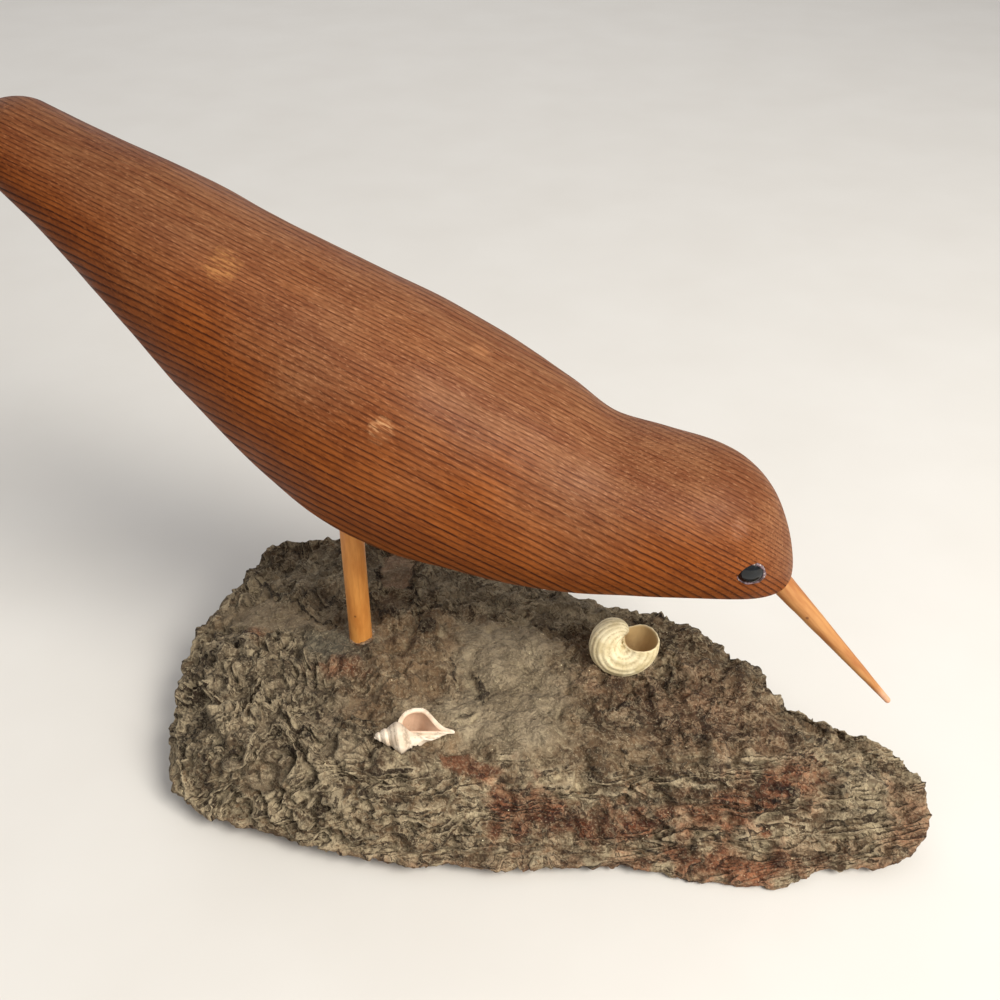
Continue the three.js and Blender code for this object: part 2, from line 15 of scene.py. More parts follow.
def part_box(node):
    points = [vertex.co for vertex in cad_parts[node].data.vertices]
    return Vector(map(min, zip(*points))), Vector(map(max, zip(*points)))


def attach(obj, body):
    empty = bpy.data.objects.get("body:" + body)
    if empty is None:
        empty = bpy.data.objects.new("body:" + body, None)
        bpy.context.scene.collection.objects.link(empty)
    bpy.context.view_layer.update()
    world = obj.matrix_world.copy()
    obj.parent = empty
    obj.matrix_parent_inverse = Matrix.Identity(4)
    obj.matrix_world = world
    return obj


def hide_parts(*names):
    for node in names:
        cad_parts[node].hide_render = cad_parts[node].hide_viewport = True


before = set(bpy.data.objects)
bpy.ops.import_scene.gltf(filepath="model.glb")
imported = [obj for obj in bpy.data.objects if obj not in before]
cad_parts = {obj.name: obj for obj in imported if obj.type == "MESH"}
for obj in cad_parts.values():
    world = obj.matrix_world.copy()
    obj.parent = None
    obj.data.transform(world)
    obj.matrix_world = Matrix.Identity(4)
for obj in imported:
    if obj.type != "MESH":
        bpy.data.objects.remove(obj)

log = logging.getLogger("shorebird")

MM = 0.001
TURN = 2.0 * math.pi
TINY = 1e-9
NOISE_SPREAD = 1.6
OCTAVE_SHIFT = 7.31
FLAKE_NAMES = 64

Colour = tuple[float, float, float]
Point = tuple[float, float, float]
Rgb = tuple[int, int, int]
Line = tuple[tuple[float, float], ...]
Array = np.ndarray


# Colours and small helpers


def srgb(red: int, green: int, blue: int) -> tuple[float, float, float, float]:
    """Turns a colour in the 0 to 255 scale into the linear colour that shaders read.

    Args:
        red: Red, 0 to 255.
        green: Green, 0 to 255.
        blue: Blue, 0 to 255.

    Returns:
        Linear red, green, blue and full alpha.
    """
    linear = []
    for value in (red, green, blue):
        share = value / 255.0
        linear.append(share / 12.92 if share <= 0.04045 else ((share + 0.055) / 1.055) ** 2.4)
    return (linear[0], linear[1], linear[2], 1.0)


def smooth_step(share: Array) -> Array:
    """Eases shares from 0 to 1 in and out."""
    return share * share * (3.0 - 2.0 * share)


def ease(values: Array, low: float, high: float) -> Array:
    """Rises smoothly from 0 at low to 1 at high, or falls where high is under low."""
    return smooth_step(np.clip((values - low) / (high - low), 0.0, 1.0))


def blend_values(start: Array, end: Array, share: Array) -> Array:
    """Mixes two arrays by a share."""
    return start + (end - start) * share


def smooth_curve(at: Array, places: Sequence[float], heights: Sequence[float]) -> Array:
    """Runs a smooth curve through values at given places.

    Args:
        at: Where to read the curve.
        places: Where the values stand, rising.
        heights: The values.

    Returns:
        The curve's values.
    """
    places, heights = np.array(places, float), np.array(heights, float)
    slopes = np.diff(heights) / np.diff(places)
    tangents = (np.concatenate([slopes[:1], slopes]) + np.concatenate([slopes, slopes[-1:]])) / 2
    index = np.clip(np.searchsorted(places, at) - 1, 0, len(places) - 2)
    span = places[index + 1] - places[index]
    p = np.clip((at - places[index]) / span, 0.0, 1.0)
    ahead = smooth_step(p)
    start = heights[index] * (1 - ahead) + tangents[index] * span * p * (1 - p) ** 2
    return start + (heights[index + 1] * ahead - tangents[index + 1] * span * p * p * (1 - p))


class Slot(Enum):
    """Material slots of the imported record."""

    BODY = "body_wood"
    BILL = "bill_wood"
    LEG = "leg_wood"
    EYE = "eye_glass"
    BARK = "bark"
    ROUND_SHELL = "round_shell"
    WHELK_SHELL = "whelk_shell"


# Noise for carving meshes, worked out on whole arrays


@dataclass(frozen=True)
class Grit:
    """Smooth random numbers over space, on a wrapped lattice of fixed seed."""

    seed: int
    cells: int = 32

    def lattice(self) -> Array:
        """The random numbers at the lattice points, from -1 to 1."""
        return np.random.default_rng(self.seed).uniform(-1.0, 1.0, (self.cells,) * 3)

    def at(self, points: Array, size: float, octaves: int = 1, fade: float = 0.5) -> Array:
        """Reads the noise.

        Args:
            points: Places, one row each.
            size: Distance between lattice points, in the unit of the places.
            octaves: How many layers, each half the size of the one before.
            fade: Strength of each layer against the one before.

        Returns:
            One number a place, mostly from -1 to 1.
        """
        grid = self.lattice()
        total = np.zeros(len(points))
        strength = 1.0
        for octave in range(octaves):
            scaled = points / (size / 2**octave) + OCTAVE_SHIFT * octave
            whole = np.floor(scaled).astype(int)
            part = scaled - whole
            part = smooth_step(part)
            value = np.zeros(len(points))
            for corner in range(8):
                step = np.array([corner & 1, (corner >> 1) & 1, (corner >> 2) & 1])
                index = (whole + step) % self.cells
                weight = np.prod(np.where(step == 1, part, 1.0 - part), axis=1)
                value += weight * grid[index[:, 0], index[:, 1], index[:, 2]]
            total += strength * value
            strength *= fade
        return total * NOISE_SPREAD

    def flakes(self, places: Array, size: float, edge: float) -> tuple[Array, Array, Array]:
        """Breaks the plane into flakes of differing height.

        Args:
            places: Plan places, one row each.
            size: Width of a flake.
            edge: Width of the seam between two flakes.

        Returns:
            Height from -0.5 to 0.5, the lips of the higher flakes, which get a painted highlight, and the grooves
            beside them, which get painted shade.
        """
        random = np.random.default_rng(self.seed + 1)
        jitter = random.uniform(0.1, 0.9, (FLAKE_NAMES, FLAKE_NAMES, 2))
        names = random.uniform(0.0, 1.0, (FLAKE_NAMES, FLAKE_NAMES))
        scaled = places / size
        whole = np.floor(scaled).astype(int)
        first = np.full(len(places), 9.0)
        second = np.full(len(places), 9.0)
        name, other = np.zeros(len(places)), np.zeros(len(places))
        for column in (-1, 0, 1):
            for row in (-1, 0, 1):
                cell = whole + (column, row)
                key = tuple((cell % FLAKE_NAMES).T)
                away = np.hypot(*(scaled - (cell + jitter[key])).T)
                this = names[key]
                nearer, between = away < first, away < second
                other = np.where(nearer, name, np.where(between, this, other))
                second = np.where(nearer, first, np.where(between, away, second))
                name = np.where(nearer, this, name)
                first = np.where(nearer, away, first)
        border = (second - first) * size / edge
        stepped = np.minimum(np.abs(name - other) * 2.5, 1.0)
        seam = np.exp(-(border**2)) * stepped
        higher = ease(name - other, -0.1, 0.1)
        lip = np.exp(-((border - 1.2) ** 2)) * higher * stepped
        level = blend_values((name + other) / 2, name, ease(border, 0.0, 0.7))
        return level - 0.5, lip, seam * (1.0 - 0.4 * higher)


def segment_distance(places: Array, line: Sequence[tuple[float, float]]) -> tuple[Array, Array]:
    """Measures how far places in plan are from a broken line.

    Args:
        places: Plan places, one row each.
        line: Corners of the line.

    Returns:
        Distance to the line, and the share of the way along it.
    """
    best = np.full(len(places), 1e9)
    along = np.zeros(len(places))
    corners = np.array(line)
    lengths = np.hypot(*np.diff(corners, axis=0).T)
    start = 0.0
    for a, b, length in zip(corners[:-1], corners[1:], lengths):
        share = np.clip(((places - a) @ (b - a)) / length**2, 0.0, 1.0)
        away = np.hypot(*(places - a - share[:, None] * (b - a)).T)
        along = np.where(away < best, (start + share * length) / lengths.sum(), along)
        best = np.minimum(best, away)
        start += length
    return best, along


def inside_depth(places: Array, corners: Sequence[tuple[float, float]]) -> Array:
    """Measures how deep places lie inside a polygon.

    Args:
        places: Plan places, one row each.
        corners: The polygon's corners.

    Returns:
        Distance to the outline, positive inside and negative outside.
    """
    loop = [*corners, corners[0]]
    away, _ = segment_distance(places, loop)
    inside = np.zeros(len(places), bool)
    for (ax, ay), (bx, by) in zip(loop[:-1], loop[1:]):
        crosses = (ay > places[:, 1]) != (by > places[:, 1])
        with np.errstate(divide="ignore", invalid="ignore"):
            edge = (bx - ax) * (places[:, 1] - ay) / (by - ay) + ax
        inside ^= crosses & (places[:, 0] < edge)
    return np.where(inside, away, -away)


# Meshes


def plain_mesh(name: str, points: Array, faces: Sequence[Array]) -> Mesh:
    """Builds a mesh from points in millimetres.

    Args:
        name: Name of the mesh.
        points: Vertices, one row each, in millimetres.
        faces: Arrays of faces, each array with one count of corners.

    Returns:
        The mesh, in metres.
    """
    mesh = bpy.data.meshes.new(name)
    mesh.vertices.add(len(points))
    mesh.vertices.foreach_set("co", (points * MM).astype(np.float32).ravel())
    corners = np.concatenate([block.ravel() for block in faces])
    counts = np.concatenate([np.full(len(block), block.shape[1]) for block in faces])
    mesh.loops.add(len(corners))
    mesh.loops.foreach_set("vertex_index", corners.astype(np.int32))
    mesh.polygons.add(len(counts))
    starts = np.concatenate([[0], np.cumsum(counts)[:-1]])
    mesh.polygons.foreach_set("loop_start", starts.astype(np.int32))
    mesh.update(calc_edges=True)
    mesh.validate()
    mesh.shade_smooth()
    return mesh


def ring_faces(rings: int, sides: int) -> list[Array]:
    """Faces over rings of points with a pole at each end, all facing outwards.

    Args:
        rings: How many rings, numbered from 1 after the first pole at 0.
        sides: Points in each ring.

    Returns:
        The quads and the triangles.
    """
    side = np.arange(sides)
    ahead = (side + 1) % sides
    quads = []
    for ring in range(rings - 1):
        low = 1 + ring * sides
        high = low + sides
        quads.append(np.stack([low + side, high + side, high + ahead, low + ahead], axis=1))
    end = 1 + rings * sides
    last = 1 + (rings - 1) * sides
    first_fan = np.stack([np.zeros(sides, int), 1 + side, 1 + ahead], axis=1)
    last_fan = np.stack([np.full(sides, end), last + ahead, last + side], axis=1)
    return [np.concatenate(quads), np.concatenate([first_fan, last_fan])]


def turned_piece(name: str, profile: Sequence[tuple[float, float]], sides: int) -> Mesh:
    """Turns a profile round +Z into a closed mesh.

    Args:
        name: Name of the mesh.
        profile: Radius and height pairs, upwards, with a radius of 0 at both ends.
        sides: Sides round.

    Returns:
        The mesh.
    """
    angles = np.arange(sides) * TURN / sides
    rings = []
    for radius, height in profile[1:-1]:
        ring = np.stack([radius * np.cos(angles), radius * np.sin(angles), np.full(sides, height)], axis=1)
        rings.append(ring)
    poles = [[(0.0, 0.0, profile[0][1])], [(0.0, 0.0, profile[-1][1])]]
    points = np.concatenate([poles[0], *rings, poles[1]])
    faces = [block[:, ::-1] for block in ring_faces(len(rings), sides)]
    return plain_mesh(name, points, faces)


@dataclass(frozen=True)
class GlueBead:
    """An uneven round bead of glue that lies round +Z, in millimetres."""

    name: str
    radius: float
    height: float
    size: float
    uneven: float
    blob: float
    octaves: int
    seed: int
    wide: float = 1.0
    tall: float = 0.9
    limits: tuple[float, float] = (-math.inf, math.inf)
    around: int = 96
    section: int = 12

    def mesh(self) -> Mesh:
        """Builds the bead.

        Returns:
            The mesh.
        """
        around = np.arange(self.around) * TURN / self.around
        section = np.arange(self.section) * TURN / self.section
        turn, bead = (grid.ravel() for grid in np.meshgrid(around, section, indexing="ij"))
        spin = np.stack([np.cos(turn), np.sin(turn), np.zeros_like(turn)], axis=-1)
        grit = Grit(self.seed).at(spin * 4.0, self.blob, self.octaves)
        size = np.clip(self.size + self.uneven * grit, *self.limits)
        points = spin * (self.radius + size * np.cos(bead) * self.wide)[:, None]
        points[:, 2] = self.height + size * np.sin(bead) * self.tall
        index = np.arange(self.around * self.section).reshape(self.around, self.section)
        ahead = np.roll(index, -1, 0)
        quads = np.stack([index, ahead, np.roll(ahead, -1, 1), np.roll(index, -1, 1)], axis=-1)
        return plain_mesh(self.name, points, [quads.reshape(-1, 4)])


def add_object(name: str, mesh: Mesh) -> Object:
    """Puts a mesh into the scene as an object at the origin."""
    piece = bpy.data.objects.new(name, mesh)
    bpy.context.scene.collection.objects.link(piece)
    return piece


def triangle_count(mesh: Mesh) -> int:
    """Counts a mesh's triangles."""
    return sum(len(face.vertices) - 2 for face in mesh.polygons)


def applied(piece: Object) -> Object:
    """Turns an object's live modifiers into its plain mesh.

    Args:
        piece: The object.

    Returns:
        The same object with the evaluated mesh and no modifiers.
    """
    bpy.context.view_layer.update()
    graph = bpy.context.evaluated_depsgraph_get()
    made = bpy.data.meshes.new_from_object(piece.evaluated_get(graph))
    old = piece.data
    piece.modifiers.clear()
    piece.data = made
    made.name = old.name + "_final"
    bpy.data.meshes.remove(old)
    return piece


def grown(name: str, mesh: Mesh, tree: NodeTree, values: dict[str, object]) -> Object:
    """Runs a Geometry Nodes tree and keeps its result as a plain mesh.

    Args:
        name: Name of the piece.
        mesh: What the tree starts from.
        tree: The tree.
        values: Its inputs by name.

    Returns:
        The piece.
    """
    piece = add_object(name, mesh)
    modifier = piece.modifiers.new(name, "NODES")
    modifier.node_group = tree
    for item in tree.interface.items_tree:
        if item.in_out == "INPUT" and item.name in values:
            modifier[item.identifier] = values[item.name]
    return applied(piece)


def cut_away(piece: Object, cutters: Sequence[Object]) -> None:
    """Cuts the cutters out of a piece and deletes them.

    Args:
        piece: The piece to cut.
        cutters: Closed objects.
    """
    for cutter in cutters:
        cut = piece.modifiers.new("cut", "BOOLEAN")
        cut.operation = "DIFFERENCE"
        cut.solver = "EXACT"
        cut.object = cutter
        applied(piece)
        bpy.data.objects.remove(cutter)


def place_along(origin: Vector, direction: Vector) -> Matrix:
    """A matrix that carries +Z onto a direction, at a place in millimetres."""
    turn = Vector((0, 0, 1)).rotation_difference(direction.normalized())
    return Matrix.Translation(origin * MM) @ turn.to_matrix().to_4x4()


def dress(piece: Object, material: Material, slot: Slot, *nodes: str) -> None:
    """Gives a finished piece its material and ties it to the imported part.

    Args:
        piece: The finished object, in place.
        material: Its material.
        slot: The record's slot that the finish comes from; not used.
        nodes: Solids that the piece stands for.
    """
    piece.data.materials.clear()
    piece.data.materials.append(material)
    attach(piece, "root")
    if nodes:
        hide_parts(*nodes)
    log.info("%s: %d triangles", piece.name, triangle_count(piece.data))


def store(mesh: Mesh, name: str, values: Array) -> None:
    """Keeps one number a vertex under a name that materials can read."""
    layer = mesh.attributes.new(name, "FLOAT", "POINT")
    layer.data.foreach_set("value", values.astype(np.float32))


# Node trees


@dataclass
class Sheet:
    """Adds nodes to one tree and wires them."""

    tree: NodeTree

    def feed(self, socket: NodeSocket, value: object) -> None:
        """Wires a socket, or sets its value.

        Args:
            socket: The input.
            value: An output socket, a wrapped value, or a plain one.
        """
        if isinstance(value, Flow):
            value = value.socket
        if isinstance(value, NodeSocket):
            self.tree.links.new(value, socket)
        else:
            socket.default_value = value

    def add(self, kind: str, inputs: dict | None = None, **settings: object) -> Node:
        """Adds a node.

        Args:
            kind: The node's type.
            inputs: Values or sockets by input name or number.
            settings: The node's own properties.

        Returns:
            The node.
        """
        node = self.tree.nodes.new(kind)
        for key, value in settings.items():
            setattr(node, key, value)
        for key, value in (inputs or {}).items():
            self.feed(node.inputs[key], value)
        return node

    def calc(self, operation: str, *values: object, clamp: bool = False) -> "Flow":
        """Adds a Math node, kept to 0 to 1 if clamp says so."""
        node = self.add("ShaderNodeMath", dict(enumerate(values)), operation=operation, use_clamp=clamp)
        return Flow(self, node.outputs[0])

    def geometry(self, kind: str, inputs: dict | None = None, **settings: object) -> "Flow":
        """Adds a Geometry Nodes node and gives its first output."""
        return Flow(self, self.add("GeometryNode" + kind, inputs, **settings).outputs[0])

    def vector(self, operation: str, *values: object, output: str = "Vector") -> "Flow":
        """Adds a Vector Math node.

        Args:
            operation: What it works out.
            values: Its inputs.
            output: Name of the output wanted.

        Returns:
            The result.
        """
        node = self.add("ShaderNodeVectorMath", operation=operation)
        for index, value in enumerate(values):
            self.feed(node.inputs["Scale"] if operation == "SCALE" and index == 1 else node.inputs[index], value)
        return Flow(self, node.outputs[output])

    def dot(self, place: object, direction: Point) -> "Flow":
        """Measures a place along a direction."""
        return self.vector("DOT_PRODUCT", place, direction, output="Value")

    def combine(self, x: object, y: object, z: object) -> "Flow":
        """Makes a vector from three numbers."""
        return Flow(self, self.add("ShaderNodeCombineXYZ", {0: x, 1: y, 2: z}).outputs[0])

    def graded(self, value: object, low: float, high: float, start: float = 0.0, end: float = 1.0) -> "Flow":
        """Maps a number smoothly from low and high to start and end."""
        inputs = {"Value": value, "From Min": low, "From Max": high, "To Min": start, "To Max": end}
        node = self.add("ShaderNodeMapRange", inputs, interpolation_type="SMOOTHSTEP")
        return Flow(self, node.outputs[0])

    def noise(self, place: object, size: float, detail: float = 2.0, rough: float = 0.5) -> "Flow":
        """Adds a noise of about 0.5 on average, with blobs of a size in millimetres and finer layers on top."""
        inputs = {"Vector": place, "Scale": 1.0 / size, "Detail": detail, "Roughness": rough}
        return Flow(self, self.add("ShaderNodeTexNoise", inputs).outputs["Fac"])

    def cells(self, place: object, size: float) -> tuple["Flow", "Flow"]:
        """Breaks space into cells.

        Args:
            place: Vector in millimetres.
            size: Width of a cell in millimetres.

        Returns:
            Distance to the nearest border as a share of the width, and a random number a cell.
        """
        inputs = {"Vector": place, "Scale": 1.0 / size}
        border = self.add("ShaderNodeTexVoronoi", inputs, feature="DISTANCE_TO_EDGE")
        name = self.add("ShaderNodeTexVoronoi", inputs, feature="F1")
        return Flow(self, border.outputs["Distance"]), self.calc("ADD", name.outputs["Color"], 0.0)

    def mix(self, share: object, first: object, second: object, blend: str = "MIX") -> NodeSocket:
        """Mixes two colours.

        Args:
            share: How much of the second.
            first: Colour at 0, a socket or three numbers from 0 to 255.
            second: Colour at 1, given the same way.
            blend: How they mix.

        Returns:
            The colour.
        """
        node = self.add("ShaderNodeMix", data_type="RGBA", blend_type=blend, clamp_factor=True)
        for index, value in ((0, share), (6, first), (7, second)):
            self.feed(node.inputs[index], srgb(*value) if isinstance(value, tuple) else value)
        return node.outputs[2]

    def attribute(self, name: str) -> "Flow":
        """Reads one of the piece's own stored numbers."""
        return Flow(self, self.add("ShaderNodeAttribute", attribute_name=name).outputs["Fac"])

    def use(self, group: NodeTree, inputs: dict) -> tuple["Flow", ...]:
        """Places a shader node group with its own inputs, and gives all of its outputs."""
        node = self.add("ShaderNodeGroup", inputs, node_tree=group)
        return tuple(Flow(self, socket) for socket in node.outputs)


@dataclass
class Flow:
    """A number or vector that flows through a tree, with the usual arithmetic."""

    sheet: Sheet
    socket: NodeSocket

    def __add__(self, other: object) -> "Flow":
        """Adds."""
        return self.sheet.calc("ADD", self, other)

    def __radd__(self, other: object) -> "Flow":
        """Adds to a plain number."""
        return self.sheet.calc("ADD", other, self)

    def __sub__(self, other: object) -> "Flow":
        """Subtracts."""
        return self.sheet.calc("SUBTRACT", self, other)

    def __rsub__(self, other: object) -> "Flow":
        """Subtracts from a plain number."""
        return self.sheet.calc("SUBTRACT", other, self)

    def __mul__(self, other: object) -> "Flow":
        """Multiplies."""
        return self.sheet.calc("MULTIPLY", self, other)

    def __rmul__(self, other: object) -> "Flow":
        """Multiplies a plain number."""
        return self.sheet.calc("MULTIPLY", other, self)

    def __truediv__(self, other: object) -> "Flow":
        """Divides."""
        return self.sheet.calc("DIVIDE", self, other)

    def __pow__(self, other: object) -> "Flow":
        """Raises to a power."""
        return self.sheet.calc("POWER", self, other)

    def least(self, other: object) -> "Flow":
        """The smaller of the two."""
        return self.sheet.calc("MINIMUM", self, other)

    def most(self, other: object) -> "Flow":
        """The larger of the two."""
        return self.sheet.calc("MAXIMUM", self, other)


@dataclass
class Paint(Sheet):
    """The tree of one material, with its shader and the place on the part in millimetres."""

    material: Material
    shader: Node
    place: Flow

    def finish(self, colour: object, roughness: object, height: object, depth: float) -> Material:
        """Wires the results into the shader.

        Args:
            colour: Base colour.
            roughness: Roughness.
            height: Height, 1 for one depth.
            depth: How far one unit of height stands out, in millimetres.

        Returns:
            The material.
        """
        bump = self.add("ShaderNodeBump", {"Height": height, "Strength": 1.0, "Distance": depth * MM})
        for key, value in (("Base Color", colour), ("Roughness", roughness), ("Normal", bump.outputs["Normal"])):
            self.feed(self.shader.inputs[key], value)
        return self.material


def new_group(
    name: str, inputs: dict[str, str], outputs: dict[str, str], kind: str = "ShaderNodeTree",
) -> tuple[Sheet, dict[str, Flow], Node]:
    """Starts a node group.

    Args:
        name: Name of the group.
        inputs: Socket types by input name.
        outputs: Socket types by output name.
        kind: Type of tree.

    Returns:
        The sheet, the group's inputs by name, and its output node.
    """
    tree = bpy.data.node_groups.new(name, kind)
    for key, socket in inputs.items():
        tree.interface.new_socket(key, in_out="INPUT", socket_type=socket)
    for key, socket in outputs.items():
        tree.interface.new_socket(key, in_out="OUTPUT", socket_type=socket)
    sheet = Sheet(tree)
    come = sheet.add("NodeGroupInput")
    return sheet, {key: Flow(sheet, come.outputs[key]) for key in inputs}, sheet.add("NodeGroupOutput")


FLOAT = "NodeSocketFloat"
VECTOR = "NodeSocketVector"
GEOMETRY = "NodeSocketGeometry"
WHOLE = "NodeSocketInt"
MATERIAL = "NodeSocketMaterial"


class Effects:
    """Shader groups that several materials share, each built once."""

    def __init__(self) -> None:
        """Builds the groups."""
        self.fibre = self.make_fibre()
        self.rings = self.make_rings()
        self.ragged_patch = self.make_ragged_patch()
        self.specks = self.make_specks()

    def make_fibre(self) -> NodeTree:
        """Streaks drawn out along one direction, such as wood fibre.

        Returns:
            The group: Place, Along (a unit vector), Stretch and Size in, Streak out.
        """
        inputs = {"Place": VECTOR, "Along": VECTOR, "Stretch": FLOAT, "Size": FLOAT}
        sheet, given, go = new_group("fibre_streaks", inputs, {"Streak": FLOAT})
        reach = sheet.dot(given["Place"], given["Along"])
        squeeze = 1.0 - sheet.calc("DIVIDE", 1.0, given["Stretch"])
        back = sheet.vector("SCALE", given["Along"], reach * squeeze)
        place = sheet.vector("SUBTRACT", given["Place"], back)
        scale = sheet.calc("DIVIDE", 1.0, given["Size"])
        node = sheet.add("ShaderNodeTexNoise", {"Vector": place, "Scale": scale, "Detail": 3.0, "Roughness": 0.6})
        sheet.feed(go.inputs["Streak"], node.outputs["Fac"])
        return sheet.tree

    def make_rings(self) -> NodeTree:
        """Growth rings from a running count of them.

        Returns:
            The group: Count and Sharpness in; Line, the dark latewood, and Band, one tone a ring, out.
        """
        inputs = {"Count": FLOAT, "Sharpness": FLOAT}
        sheet, given, go = new_group("growth_rings", inputs, {"Line": FLOAT, "Band": FLOAT})
        part = sheet.calc("FRACT", given["Count"])
        rise = sheet.graded(part, 0.30, 0.82)
        drop = sheet.graded(part, 0.86, 1.0, 1.0, 0.0)
        line = sheet.calc("POWER", rise * drop, given["Sharpness"])
        whole = sheet.calc("FLOOR", given["Count"])
        tone = sheet.add("ShaderNodeTexWhiteNoise", {"W": whole}, noise_dimensions="1D")
        sheet.feed(go.inputs["Line"], line)
        sheet.feed(go.inputs["Band"], tone.outputs["Value"])
        return sheet.tree

    def make_ragged_patch(self) -> NodeTree:
        """A ragged patch round one place, for wear and for painted sheen.

        Returns:
            The group: Place, Centre, Radius and Ragged in, Mask out.
        """
        inputs = {"Place": VECTOR, "Centre": VECTOR, "Radius": FLOAT, "Ragged": FLOAT}
        sheet, given, go = new_group("ragged_patch_mask", inputs, {"Mask": FLOAT})
        away = sheet.vector("DISTANCE", given["Place"], given["Centre"], output="Value")
        share = away / given["Radius"]
        rough = sheet.noise(given["Place"], 1.6, 4.0, 0.7) - 0.5
        edge = share + rough * given["Ragged"]
        sheet.feed(go.inputs["Mask"], sheet.graded(edge, 0.35, 1.0, 1.0, 0.0))
        return sheet.tree

    def make_specks(self) -> NodeTree:
        """Small scattered dots.

        Returns:
            The group: Place, Size and Share in, Mask out.
        """
        inputs = {"Place": VECTOR, "Size": FLOAT, "Share": FLOAT}
        sheet, given, go = new_group("specks", inputs, {"Mask": FLOAT})
        scale = sheet.calc("DIVIDE", 1.0, given["Size"])
        cells = sheet.add("ShaderNodeTexVoronoi", {"Vector": given["Place"], "Scale": scale})
        chosen = sheet.add("ShaderNodeSeparateColor", {"Color": cells.outputs["Color"]})
        picked = sheet.calc("LESS_THAN", chosen.outputs["Red"], given["Share"])
        core = sheet.graded(cells.outputs["Distance"], 0.18, 0.32, 1.0, 0.0)
        sheet.feed(go.inputs["Mask"], core * picked)
        return sheet.tree


    def streaks(self, sheet: Paint, along: Point, *sizes: tuple[float, float]) -> tuple[Flow, ...]:
        """Places fibre in a material, one streaky number for each pair of stretch and size."""
        return tuple(
            sheet.use(self.fibre, {"Place": sheet.place, "Along": along, "Stretch": stretch, "Size": size})[0]
            for stretch, size in sizes)


@dataclass(frozen=True)
class Finish:
    """What every finish has: its name and the constants of its shader."""

    name: str
    roughness: float = 0.5
    specular: float = 0.5
    coat: float = 0.0
    coat_roughness: float = 0.2

    def start(self) -> Paint:
        """Starts a material.

        Returns:
            Its tree, with the constants set on the shader.
        """
        material = bpy.data.materials.new(self.name)
        material.use_nodes = True
        material.node_tree.nodes.clear()
        sheet = Sheet(material.node_tree)
        shader = sheet.add("ShaderNodeBsdfPrincipled", {
            "Roughness": self.roughness, "Specular IOR Level": self.specular, "Coat Weight": self.coat,
            "Coat Roughness": self.coat_roughness})
        sheet.add("ShaderNodeOutputMaterial", {"Surface": shader.outputs["BSDF"]})
        place = sheet.vector("SCALE", sheet.add("ShaderNodeTexCoord").outputs["Object"], 1.0 / MM)
        return Paint(sheet.tree, material, shader, place)


@dataclass(frozen=True)
class RingSpacing:
    """How far apart the growth rings stand, across the blank that the bird was cut from."""

    across: Point = (0.327, 0.607, 0.724)
    along: Point = (0.8535, 0.0565, -0.518)
    places: tuple[float, ...] = (40, 70, 85, 88, 91, 95, 99, 104, 107, 109, 113, 116, 120, 122, 125, 129, 150)
    spacings: tuple[float, ...] = (
        1.8, 1.78, 1.75, 1.5, 2.0, 1.85, 1.6, 1.55, 1.35, 1.17, 1.15, 1.23, 1.15, 1.3, 1.55, 1.47, 1.6)

    def counts(self, steps: int = 45) -> tuple[Array, Array]:
        """Adds up the rings across the blank.

        Args:
            steps: How many places to give.

        Returns:
            Places in millimetres, and the running count of rings at each.
        """
        fine = np.linspace(self.places[0], self.places[-1], 2000)
        rate = 1.0 / np.interp(fine, self.places, self.spacings)
        count = np.concatenate([[0.0], np.cumsum((rate[1:] + rate[:-1]) / 2 * np.diff(fine))])
        chosen = np.linspace(self.places[0], self.places[-1], steps)
        return chosen, np.interp(chosen, fine, count)


@dataclass(frozen=True)
class WearAndSheenPatch:
    """One patch of colour on the bird, for wear and for painted sheen."""

    centre: Point
    radius: float
    strength: float
    colour: Rgb


